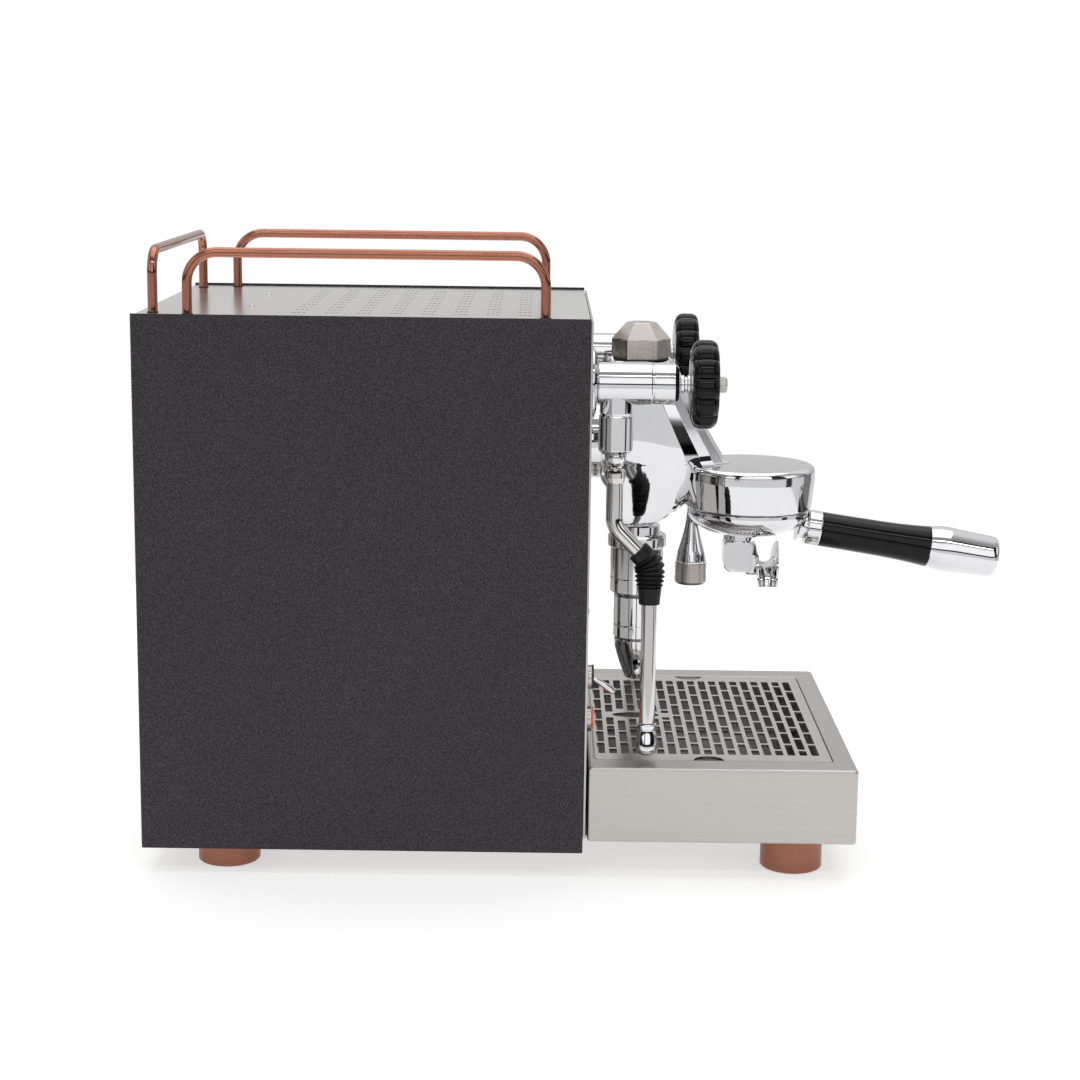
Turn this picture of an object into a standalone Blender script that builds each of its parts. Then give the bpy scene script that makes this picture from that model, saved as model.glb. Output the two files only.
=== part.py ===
"""Compact lever-group espresso machine with two valves, built as separate pieces.

Run with: blender --background --python part.py

Frame: metres, +Z up. The machine's front faces -Y and X runs across its width.
The origin is the bottom centre of the whole machine's box, so Z = 0 is the
surface it stands on. Pieces are laid out in millimetres as (x, d, z):
x to the user's right, d forward from the rear edge of the side panels, and
z up from the bottom edge of the side panels.
"""

import math

import bmesh
import bpy
from mathutils import Matrix, Vector

# ---------------------------------------------------------------- dimensions
MM = 0.001
FOOT_DROP = 16.0          # foot bottoms below the side panels' bottom edge
REACH = 550.0             # rear edge to the tip of the portafilter handle
HALF_REACH = REACH / 2
GAP = 0.3                 # between pieces that touch
FACETS = 0.7              # share of the full facet count on round pieces

BODY_W = 250.0            # across the side panels
BODY_D = 274.7            # side panel depth
BODY_H = 332.3            # side panel height
SHEET = 1.5               # housing sheet thickness
TOP_Z = 331.0             # upper face of the cup tray
FRONT_FACE = 276.2        # outer face of the front panel
FLANGE = 12.0             # folded-in edge of the side panels

TRAY_D0, TRAY_D1 = 277.5, 445.0
TRAY_Z0, TRAY_Z1 = 7.6, 55.5
TRAY_RIM = 13.8           # rim width at the sides and the front
GRILLE_X, GRILLE_D0, GRILLE_D1 = 105.2, 282.2, 431.0

FOOT_R, FOOT_X = 19.5, 95.0
FOOT_D = (50.6, 408.0)

RAIL_R, RAIL_Z = 3.0, 368.3
RAIL_X, RAIL_D = 110.0, (32.0, 247.5)
REAR_RAIL_X, REAR_RAIL_D = 100.0, 9.5

VALVE_X, VALVE_Z = 92.0, 290.5
KNOB_R, KNOB_D0, KNOB_D1 = 28.0, 337.0, 353.2
BALL_D, BALL_Z, BALL_R = 291.5, 245.0, 6.8
WAND_R, WAND_LOW_R = 5.2, 4.9
WAND_BEND_Z, WAND_FRONT_D, WAND_LEAN = 202.0, 314.2, 13.0 / 187.0

MOUNT_Z = 242.4           # axis of the neck that carries the brew group
GROUP_D0 = 290.0          # rear face of the group casting
BELL_D, BELL_R = 383.0, 43.5
LEVER_D, LEVER_Z, LEVER_X = 318.0, 222.0, 60.0
CHAMBER_D = 310.1         # axis of the parts below the group column

BOILER_Z, BOILER_R, BOILER_D0, BOILER_D1 = 235.0, 52.0, 106.3, 242.0


# ------------------------------------------------------------------- helpers
def pt(x, d, z):
    """Layout millimetres to world metres."""
    return Vector((x * MM, (HALF_REACH - d) * MM, (z + FOOT_DROP) * MM))


def facets(seg):
    """Facet count for a round piece; six stays a hexagon."""
    return seg if seg <= 8 else max(8, 2 * round(seg * FACETS / 2))


def material(name, rgb, metallic, roughness):
    mat = bpy.data.materials.new(name)
    mat.use_nodes = True
    shader = mat.node_tree.nodes["Principled BSDF"]
    shader.inputs["Base Color"].default_value = (*rgb, 1.0)
    shader.inputs["Metallic"].default_value = metallic
    shader.inputs["Roughness"].default_value = roughness
    mat.diffuse_color = (*rgb, 1.0)
    return mat


FINISH = {
    "anthracite": ((0.045, 0.043, 0.048), 0.3, 0.55),
    "polished": ((0.80, 0.80, 0.79), 1.0, 0.12),
    "brushed": ((0.62, 0.61, 0.59), 1.0, 0.32),
    "chrome": ((0.86, 0.86, 0.87), 1.0, 0.05),
    "nickel": ((0.70, 0.66, 0.60), 1.0, 0.22),
    "copper": ((0.42, 0.17, 0.10), 1.0, 0.28),
    "black": ((0.012, 0.012, 0.014), 0.0, 0.18),
    "rubber": ((0.02, 0.02, 0.022), 0.0, 0.6),
    "plastic": ((0.10, 0.10, 0.11), 0.0, 0.45),
    "clear": ((0.55, 0.60, 0.63), 0.0, 0.25),
    "brass": ((0.62, 0.45, 0.20), 1.0, 0.35),
    "amber": ((0.80, 0.16, 0.03), 0.0, 0.3),
}


def add(name, bm, finish, smooth=35):
    """A bmesh in world metres becomes a named object with its own material."""
    bmesh.ops.remove_doubles(bm, verts=bm.verts, dist=1e-6)
    bmesh.ops.recalc_face_normals(bm, faces=bm.faces)
    mesh = bpy.data.meshes.new(name)
    bm.to_mesh(mesh)
    bm.free()
    mesh.shade_smooth()
    mesh.set_sharp_from_angle(angle=math.radians(smooth))
    obj = bpy.data.objects.new(name, mesh)
    bpy.context.scene.collection.objects.link(obj)
    obj.data.materials.append(material(name, *FINISH[finish]))
    return obj


def combine(obj, tools, operation):
    """Unites or cuts, and leaves one plain mesh."""
    for tool in tools:
        modifier = obj.modifiers.new("combine", "BOOLEAN")
        modifier.operation = operation
        modifier.solver = "EXACT"
        modifier.object = tool
        bpy.context.view_layer.update()
        graph = bpy.context.evaluated_depsgraph_get()
        mesh = bpy.data.meshes.new_from_object(obj.evaluated_get(graph))
        obj.modifiers.clear()
        old = obj.data
        obj.data = mesh
        bpy.data.meshes.remove(old)
        bpy.data.objects.remove(tool)
    obj.data.name = obj.name
    mat = obj.data.materials[0]
    obj.data.materials.clear()
    obj.data.materials.append(mat)
    for face in obj.data.polygons:
        face.material_index = 0
    obj.data.shade_smooth()
    obj.data.set_sharp_from_angle(angle=math.radians(35))
    return obj


def unite(obj, *tools):
    return combine(obj, tools, "UNION")


def cut(obj, *tools):
    return combine(obj, tools, "DIFFERENCE")


def box(name, xs, ds, zs, finish="polished", bevel=0.0):
    bm = bmesh.new()
    bmesh.ops.create_cube(bm, size=1.0)
    low, high = pt(xs[0], ds[1], zs[0]), pt(xs[1], ds[0], zs[1])
    size, middle = high - low, (high + low) / 2
    for v in bm.verts:
        v.co = Vector(a * b for a, b in zip(v.co, size)) + middle
    if bevel:
        bmesh.ops.bevel(bm, geom=bm.edges[:], offset=bevel * MM, segments=1, affect="EDGES")
    return add(name, bm, finish)


def prism(name, outline, along, low, high, finish="polished"):
    """Extrudes an outline. along is the layout axis it runs along: "x" takes
    (d, z) points, "d" takes (x, z) points and "z" takes (x, d) points."""
    place = {
        "x": lambda p, t: pt(t, p[0], p[1]),
        "d": lambda p, t: pt(p[0], t, p[1]),
        "z": lambda p, t: pt(p[0], p[1], t),
    }[along]
    bm = bmesh.new()
    a = [bm.verts.new(place(p, low)) for p in outline]
    b = [bm.verts.new(place(p, high)) for p in outline]
    n = len(outline)
    bm.faces.new(a)
    bm.faces.new(b)
    for i in range(n):
        j = (i + 1) % n
        bm.faces.new((a[i], a[j], b[j], b[i]))
    return add(name, bm, finish)


def loft(name, rings, finish="polished"):
    """Joins closed rings of equal count, given as layout points, with end caps."""
    bm = bmesh.new()
    rows = [[bm.verts.new(pt(*p)) for p in ring] for ring in rings]
    n = len(rows[0])
    for low, high in zip(rows, rows[1:]):
        for i in range(n):
            j = (i + 1) % n
            bm.faces.new((low[i], low[j], high[j], high[i]))
    bm.faces.new(rows[0])
    bm.faces.new(rows[-1])
    return add(name, bm, finish)


def lathe(name, profile, centre, axis="z", seg=24, finish="chrome", turn=0.0):
    """Turns a closed profile of (radius, height) points about a layout axis.
    Points of radius 0 lie on the axis, and profile runs round the section."""
    x0, d0, z0 = centre
    seg = facets(seg)

    def place(r, h, t):
        c, s = r * math.cos(t), r * math.sin(t)
        if axis == "z":
            return pt(x0 + c, d0 + s, z0 + h)
        if axis == "d":
            return pt(x0 + c, d0 + h, z0 + s)
        return pt(x0 + h, d0 + c, z0 + s)

    bm = bmesh.new()
    rings = []
    for r, h in profile:
        if r < 1e-6:
            rings.append([bm.verts.new(place(0, h, 0))] * seg)
        else:
            rings.append([bm.verts.new(place(r, h, turn + 2 * math.pi * k / seg)) for k in range(seg)])
    solid_ends = profile[0][0] < 1e-6 and profile[-1][0] < 1e-6
    pairs = list(zip(rings, rings[1:]))
    if not solid_ends:
        pairs.append((rings[-1], rings[0]))
    for a, b in pairs:
        for k in range(seg):
            m = (k + 1) % seg
            corners = []
            for v in (a[k], a[m], b[m], b[k]):
                if v not in corners:
                    corners.append(v)
            if len(corners) > 2:
                bm.faces.new(corners)
    return add(name, bm, finish)


def rounded_path(points, radius, steps=5):
    """A polyline whose inner corners become arcs."""
    pts = [Vector(p) for p in points]
    out = [pts[0]]
    for before, here, after in zip(pts, pts[1:], pts[2:]):
        a, b = (before - here).normalized(), (after - here).normalized()
        angle = a.angle(b)
        reach = min(radius / math.tan(angle / 2), (before - here).length * 0.49, (after - here).length * 0.49)
        r = reach * math.tan(angle / 2)
        middle = here + (a + b).normalized() * (r / math.sin(angle / 2))
        start, end = here + a * reach - middle, here + b * reach - middle
        sweep = start.angle(end)
        turn_axis = start.cross(end).normalized()
        for k in range(steps + 1):
            out.append(middle + Matrix.Rotation(sweep * k / steps, 3, turn_axis) @ start)
    out.append(pts[-1])
    return out


def frames(path, hint):
    """Two vectors across the path at each point, carried along without twist."""
    side = Vector(hint)
    result = []
    for i, p in enumerate(path):
        ahead = (path[min(i + 1, len(path) - 1)] - path[max(i - 1, 0)]).normalized()
        side = (side - ahead * side.dot(ahead)).normalized()
        result.append((side.copy(), ahead.cross(side)))
    return result


def sweep(name, path, radii, seg=12, finish="chrome", hint=(1, 0, 0), inner=None):
    """A round bar along layout points, or a sleeve if inner gives a bore radius."""
    path = [Vector(p) for p in path]
    seg = facets(seg)
    if not isinstance(radii, (list, tuple)):
        radii = [radii] * len(path)
    across = frames(path, hint)
    bm = bmesh.new()

    def ring(i, r):
        u, v = across[i]
        return [
            bm.verts.new(pt(*(path[i] + (u * math.cos(t) + v * math.sin(t)) * r)))
            for t in (2 * math.pi * k / seg for k in range(seg))
        ]

    rows = [ring(i, r) for i, r in enumerate(radii)]
    if inner is not None:
        rows += [ring(i, inner) for i in reversed(range(len(path)))]
        pairs = list(zip(rows, rows[1:])) + [(rows[-1], rows[0])]
    else:
        pairs = list(zip(rows, rows[1:]))
        bm.faces.new(rows[0])
        bm.faces.new(rows[-1])
    for a, b in pairs:
        for k in range(seg):
            m = (k + 1) % seg
            bm.faces.new((a[k], a[m], b[m], b[k]))
    return add(name, bm, finish)


def joint_empty(name, centre, parent=None):
    """An empty on a joint's axis, which its moving pieces are parented to."""
    empty = bpy.data.objects.new(name, None)
    empty.empty_display_size = 0.02
    bpy.context.scene.collection.objects.link(empty)
    place = pt(*centre)
    empty["world"] = tuple(place)
    if parent is not None:
        empty.parent = parent
        empty.location = place - Vector(parent["world"])
    else:
        empty.location = place
    return empty


def hang(empty, *objs):
    for obj in objs:
        obj.data.transform(Matrix.Translation(-Vector(empty["world"])))
        obj.parent = empty


for old in list(bpy.data.objects):
    bpy.data.objects.remove(old, do_unlink=True)

# ------------------------------------------------------------ housing sheets
HALF = BODY_W / 2


def side_panel(name, s):
    """A sheet with both upright edges folded inwards, notched at the top for the cup tray."""
    outline = [
        (HALF, 0.8), (HALF, BODY_D - 0.8), (HALF - 0.8, BODY_D), (HALF - FLANGE, BODY_D),
        (HALF - FLANGE, BODY_D - SHEET), (HALF - SHEET, BODY_D - SHEET), (HALF - SHEET, SHEET),
        (HALF - FLANGE, SHEET), (HALF - FLANGE, 0.0), (HALF - 0.8, 0.0)]
    sheet = prism(name, [(s * x, d) for x, d in outline], "z", 0.0, BODY_H, "anthracite")
    notch = sorted((s * (HALF - FLANGE - 3.0), s * (HALF - SHEET - 0.4)))
    return cut(sheet, box("notch", notch, (-5.0, BODY_D + 5.0), (TOP_Z - 1.7, BODY_H + 5.0)))


side_panel("side_panel_left", -1)
side_panel("side_panel_right", 1)

base = box("base_plate", (-121.8, 121.8), (3.4, 272.6), (5.8, 7.3), "brushed")
unite(base, box("tongue", (-111.5, 111.5), (271.0, 437.0), (5.8, 7.3)))
for s in (-1, 1):
    unite(base, box("upturn", sorted((s * 121.8, s * 120.3)), (3.4, 272.6), (6.5, 20.0)))

rear = box("rear_panel", (-121.8, 121.8), (1.8, 3.1), (0.5, 329.2), "brushed")
slots = [
    box("vent", (x, x + 34.0), (0.0, 5.0), (z, z + 3.5))
    for z in (255.0, 265.0, 275.0, 285.0) for x in (-62.0, -17.0, 28.0)
]
cut(rear, *slots, box("inlet_hole", (54.7, 85.3), (0.0, 5.0), (28.7, 51.3)))

front = box("front_panel", (-121.5, 121.5), (FRONT_FACE - 1.2, FRONT_FACE), (8.2, 330.6), "polished")
cut(
    front,
    *[lathe("hole", [(0, -6), (r, -6), (r, 6), (0, 6)], (x, FRONT_FACE, z), "d", 28)
      for x, z, r in (
          (0.0, MOUNT_Z, 17.6), (-VALVE_X, VALVE_Z, 9.9), (VALVE_X, VALVE_Z, 9.9),
          (-VALVE_X, 105.0, 6.2), (-VALVE_X, 78.5, 7.2), (62.0, 112.4, 3.0), (62.0, 165.0, 19.0))])

for side, x in (("left", -FOOT_X), ("right", FOOT_X)):
    for end, d in zip(("rear", "front"), FOOT_D):
        lathe(
            f"foot_{end}_{side}",
            [(0, -FOOT_DROP), (FOOT_R - 1.0, -FOOT_DROP), (FOOT_R, -FOOT_DROP + 1.0), (FOOT_R, 5.0), (FOOT_R - 0.6, 5.5), (0, 5.5)],
            (x, d, 0), "z", 28, "copper")

inlet = box("power_inlet", (51.5, 88.5), (0.3, 1.5), (26.0, 54.0), "plastic")
unite(inlet, box("inlet_body", (55.0, 85.0), (1.0, 22.0), (29.0, 51.0)))
cut(inlet, box("socket", (58.0, 82.0), (-1.0, 16.0), (32.0, 48.0)))
for x in (64.0, 70.0, 76.0):
    unite(inlet, box("contact", (x - 0.8, x + 0.8), (8.0, 17.0), (38.0, 42.0)))

# ------------------------------------------------------------------ cup tray
lift_tray = joint_empty("cup_tray_axis", (0, 137.0, TOP_Z))
top = box("cup_tray_top", (-122.7, 122.7), (0.4, BODY_D - 0.2), (TOP_Z - 1.4, TOP_Z), "polished")
rails = []
for side, x in (("left", -RAIL_X), ("right", RAIL_X)):
    path = rounded_path(
        [(x, RAIL_D[0], TOP_Z + GAP), (x, RAIL_D[0], RAIL_Z), (x, RAIL_D[1], RAIL_Z), (x, RAIL_D[1], TOP_Z + GAP)], 22.0, 6)
    rails.append(sweep(f"rail_{side}", path, RAIL_R, 10, "copper"))
path = rounded_path(
    [(-REAR_RAIL_X, REAR_RAIL_D, TOP_Z + GAP), (-REAR_RAIL_X, REAR_RAIL_D, RAIL_Z),
     (REAR_RAIL_X, REAR_RAIL_D, RAIL_Z), (REAR_RAIL_X, REAR_RAIL_D, TOP_Z + GAP)], 14.0, 5)
rails.append(sweep("rail_rear", path, RAIL_R, 10, "copper", hint=(0, 1, 0)))
hang(lift_tray, top, *rails)

# ----------------------------------------------------------------- internals
lift_tank = joint_empty("water_tank_axis", (0, 58.0, 8.0))
tank = box("water_tank", (-95.0, 95.0), (27.0, 89.0), (7.7, 217.0), "clear", 2.0)
cut(tank, box("tank_inside", (-92.0, 92.0), (30.0, 86.0), (10.7, 230.0), "clear"))
hang(lift_tank, tank)

lathe(
    "boiler",
    [(0, BOILER_D1), (47.0, BOILER_D1), (BOILER_R, BOILER_D1 - 5.0), (BOILER_R, BOILER_D0), (49.0, BOILER_D0),
     (49.0, BOILER_D1 - 6.0), (45.0, BOILER_D1 - 3.0), (0, BOILER_D1 - 3.0)],
    (0, 0, BOILER_Z), "d", 32, "brass")
element = lathe(
    "heating_element",
    [(0, 100.0), (50.0, 100.0), (50.0, 106.0), (0, 106.0)], (0, 0, BOILER_Z), "d", 32, "polished")
unite(element, sweep(
    "element_loop",
    rounded_path([(-18.0, 90.0, 215.0), (-18.0, 222.0, 215.0), (18.0, 222.0, 215.0), (18.0, 90.0, 215.0)], 16.0, 5),
    4.0, 10, hint=(0, 0, 1)))

pump = lathe(
    "pump",
    [(0, 105.0), (9.0, 105.0), (9.0, 120.0), (24.0, 122.0), (24.0, 198.0), (9.0, 200.0), (9.0, 215.0), (0, 215.0)],
    (-62.0, 0, 40.0), "d", 24, "plastic")
unite(pump, box("pump_foot", (-82.0, -42.0), (130.0, 190.0), (7.7, 26.0)))

box("control_box", (25.0, 110.0), (110.0, 200.0), (7.7, 75.0), "plastic", 2.0)

lathe(
    "pressure_switch",
    [(0, 287.7), (4.5, 287.7), (4.5, 293.0), (16.0, 293.0), (16.0, 308.0), (12.0, 316.0), (0, 316.0)],
    (0, 190.0, 0), "z", 20, "brass")

sweep(
    "steam_pipe",
    rounded_path([(-30.0, 215.0, 281.8), (-30.0, 215.0, 306.0), (-VALVE_X, 215.0, 306.0),
                  (-VALVE_X, 238.0, VALVE_Z), (-VALVE_X, 261.5, VALVE_Z)], 9.0, 3),
    3.5, 8, "copper", hint=(0, 1, 0))
sweep(
    "water_pipe",
    rounded_path([(52.8, 215.0, BOILER_Z), (VALVE_X, 215.0, BOILER_Z), (VALVE_X, 215.0, VALVE_Z),
                  (VALVE_X, 261.5, VALVE_Z)], 9.0, 3),
    3.5, 8, "copper", hint=(0, 1, 0))

# ---------------------------------------------------------------- brew group
lathe(
    "group_mount",
    [(0, 242.5), (17.0, 242.5), (17.0, 276.6), (25.0, 276.6), (26.0, 277.6), (26.0, 284.6), (25.0, 285.6),
     (23.5, 285.6), (23.5, GROUP_D0 - GAP), (0, GROUP_D0 - GAP)],
    (0, 0, MOUNT_Z), "d", 28, "chrome")


def column_ring(z, rear, side, spine, half=24.0, nose=9.0):
    """One level of the casting: flat sides, then a bevel in to the narrow spine."""
    return [
        (-half + 4, rear, z), (-half, rear + 4, z), (-half, side, z), (-nose, spine, z),
        (nose, spine, z), (half, side, z), (half, rear + 4, z), (half - 4, rear, z)]


group = loft(
    "group_body",
    [column_ring(186.2, 294.0, 317.0, 319.0, 14.4, 10.0),
     column_ring(194.0, 290.5, 329.0, 333.0, 16.0, 10.0),
     column_ring(203.0, GROUP_D0, 333.0, 346.0, 17.4, 10.0),
     column_ring(222.0, GROUP_D0, 337.0, 366.0, 20.4),
     column_ring(237.0, GROUP_D0, 338.0, 362.5, 22.0),
     column_ring(269.0, GROUP_D0, 324.0, 345.0),
     column_ring(292.0, GROUP_D0, 314.0, 332.7, 23.0),
     column_ring(296.2, 293.0, 311.0, 328.0, 20.0, 8.0)],
    "chrome")
unite(
    group,
    lathe(
        "bell",
        [(0, 227.9), (30.0, 227.7), (41.0, 227.2), (43.0, 225.9), (BELL_R, 223.6), (42.6, 208.0), (41.4, 200.5),
         (40.6, 199.2), (0, 199.2)],
        (0, BELL_D, 0), "z", 48),
    lathe("lever_boss", [(0, 12.0), (11.0, 12.0), (11.0, 34.0), (9.5, 38.0), (0, 38.0)], (0, LEVER_D, LEVER_Z), "x", 20))
cut(group, lathe("bell_recess", [(0, 190.0), (36.2, 190.0), (36.2, 212.0), (0, 212.0)], (0, BELL_D, 0), "z", 40))

lathe(
    "group_cap",
    [(0, 296.6), (18.6, 296.6), (19.6, 297.8), (19.6, 308.0), (10.8, 318.2), (9.6, 319.0), (0, 319.0)],
    (0, CHAMBER_D, 0), "z", 6, "nickel", turn=math.radians(90))

lathe("group_gasket", [(31.6, 207.4), (35.6, 207.4), (35.6, 211.7), (31.6, 211.7)], (0, BELL_D, 0), "z", 32, "rubber")
lathe(
    "shower_screen",
    [(0, 203.4), (27.0, 203.4), (27.4, 205.0), (8.0, 206.5), (8.0, 211.7), (0, 211.7)],
    (0, BELL_D, 0), "z", 28, "polished")

lathe(
    "lower_chamber",
    [(0, 140.2), (16.4, 140.2), (17.4, 141.4), (17.4, 171.4), (19.2, 172.2), (19.2, 178.8), (18.2, 179.8), (15.0, 180.4),
     (15.0, 185.8), (0, 185.8)],
    (0, CHAMBER_D, 0), "z", 28, "chrome")
lathe(
    "drain_valve",
    [(0, 109.6), (13.6, 109.6), (14.7, 110.8), (14.7, 139.0), (14.0, 139.9), (0, 139.9)],
    (0, CHAMBER_D, 0), "z", 28, "chrome")


def circle(x, d, z, r, count=20, tilt=0.0):
    return [
        (x + r * math.cos(t), d + r * math.sin(t), z + tilt * math.sin(t))
        for t in (2 * math.pi * k / count for k in range(count))]


spout = loft(
    "drain_spout",
    [circle(0, 310.4, 109.3, 14.2), circle(0, 310.4, 103.5, 14.2), circle(0, 312.0, 92.0, 12.2), circle(0, 313.8, 82.4, 10.2)],
    "chrome")
cut(spout, loft(
    "spout_bore",
    [circle(0, 311.5, 104.0, 9.0), circle(0, 313.0, 92.0, 8.8), circle(0, 314.2, 80.0, 8.0)], "chrome"))

# --------------------------------------------------------------- brew lever
lever_axis = joint_empty("brew_lever_axis", (LEVER_X, LEVER_D, LEVER_Z))
arm = lathe(
    "lever_arm",
    [(0, 38.3), (6.0, 38.3), (6.0, 53.0), (8.0, 53.0), (8.0, 67.0), (6.5, 68.2), (0, 68.2)],
    (0, LEVER_D, LEVER_Z), "x", 18)
unite(arm, sweep(
    "arm_bar",
    rounded_path([(LEVER_X, LEVER_D + 2.0, LEVER_Z - 2.0), (LEVER_X, 350.0, 200.0), (LEVER_X, 350.3, 187.0)], 10.0, 3),
    3.6, 10))
bottle = [(0, 0), (3.4, 0), (3.8, 8.0), (5.8, 18.0), (9.2, 30.0), (10.6, 38.0), (11.1, 48.0), (11.1, 51.0), (10.0, 52.6), (0, 52.6)]
handle = lathe(
    "lever_handle", [(r, -h) for r, h in bottle], (LEVER_X, 350.3, 186.6), "z", 20, "brushed")
hang(lever_axis, arm, handle)

# -------------------------------------------------------------- portafilter
twist = joint_empty("portafilter_axis", (0, BELL_D, 199.0))
holder = lathe(
    "portafilter_body",
    [(0, 180.8), (14.0, 180.8), (24.0, 182.6), (33.0, 186.8), (38.0, 191.4), (40.0, 195.2), (40.0, 198.6), (38.8, 198.9),
     (35.8, 198.9), (35.8, 205.6), (31.2, 205.6), (31.2, 188.0), (26.0, 185.0), (0, 185.0)],
    (0, BELL_D, 0), "z", 40, "chrome")
GRIP_A, GRIP_B = Vector((0, 421.6, 185.9)), Vector((0, 549.6, 166.4))
ALONG = (GRIP_B - GRIP_A).normalized()


def on_grip(s):
    return GRIP_A + ALONG * s


unite(holder, sweep("neck", [on_grip(-5.8), on_grip(-2.6), on_grip(-0.5)], [9.6, 8.2, 8.2], 20))
unite(holder, sweep("collar", [on_grip(-0.8), on_grip(0.4), on_grip(9.0), on_grip(9.8)], [9.6, 10.6, 11.3, 11.0], 20))
basket = lathe(
    "filter_basket",
    [(0, 186.2), (27.4, 186.2), (28.6, 188.0), (30.6, 202.0), (30.6, 206.0), (34.6, 206.0), (34.6, 206.9), (29.6, 206.9),
     (29.6, 202.0), (27.6, 188.6), (26.8, 187.4), (0, 187.4)],
    (0, BELL_D, 0), "z", 32, "polished")
grip = sweep(
    "handle_grip", [on_grip(s) for s in (10.1, 11.0, 34.0, 58.0, 72.0, 82.0)], [10.8, 11.3, 11.4, 12.1, 12.9, 13.6], 24, "black")
cap = sweep(
    "handle_cap", [on_grip(s) for s in (82.3, 83.0, 100.0, 118.0, 125.5, 128.4)], [13.5, 13.7, 13.9, 13.9, 13.2, 10.5], 24, "chrome")
outlet = box("portafilter_spout", (-9.5, 9.5), (367.5, 386.5), (156.0, 176.0), "chrome", 3.0)
unite(outlet, lathe("spout_nut", [(0, 170.0), (9.0, 170.0), (9.0, 180.5), (0, 180.5)], (0, 377.0, 0), "z", 6))


def trough(s):
    """One pouring channel: a deep open gutter that leaves the block and turns down."""
    rings = []
    for k in range(7):
        t = k / 6
        angle = math.radians(8 + 80 * t)
        x, z = 4.0 + 19.0 * math.sin(angle), 148.6 + 19.0 * math.cos(angle)
        outer, inner = 8.6 - 2.6 * t, 6.8 - 2.6 * t
        wall = 8.3 * (1 - t) ** 1.2 + 0.2
        normal = (math.sin(angle), math.cos(angle))
        ring = []
        for r, order in ((outer, range(0, 7)), (inner, range(6, -1, -1))):
            for j in order:
                a = math.pi * j / 6
                steps = [(r * math.cos(a), r * math.sin(a))]
                if j in (0, 6):
                    steps.insert(0 if (j == 0) == (r == outer) else 1, (r * math.cos(a), -wall))
                for across, depth in steps:
                    ring.append((s * (x - normal[0] * depth), 395.3 + across, z - normal[1] * depth))
        rings.append(ring)
    return loft("trough", rings, "chrome")


unite(outlet, box("spout_root", (-8.0, 8.0), (384.0, 403.5), (153.0, 159.5), "chrome", 1.5))
unite(outlet, trough(-1), trough(1))
hang(twist, holder, basket, grip, cap, outlet)

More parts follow.
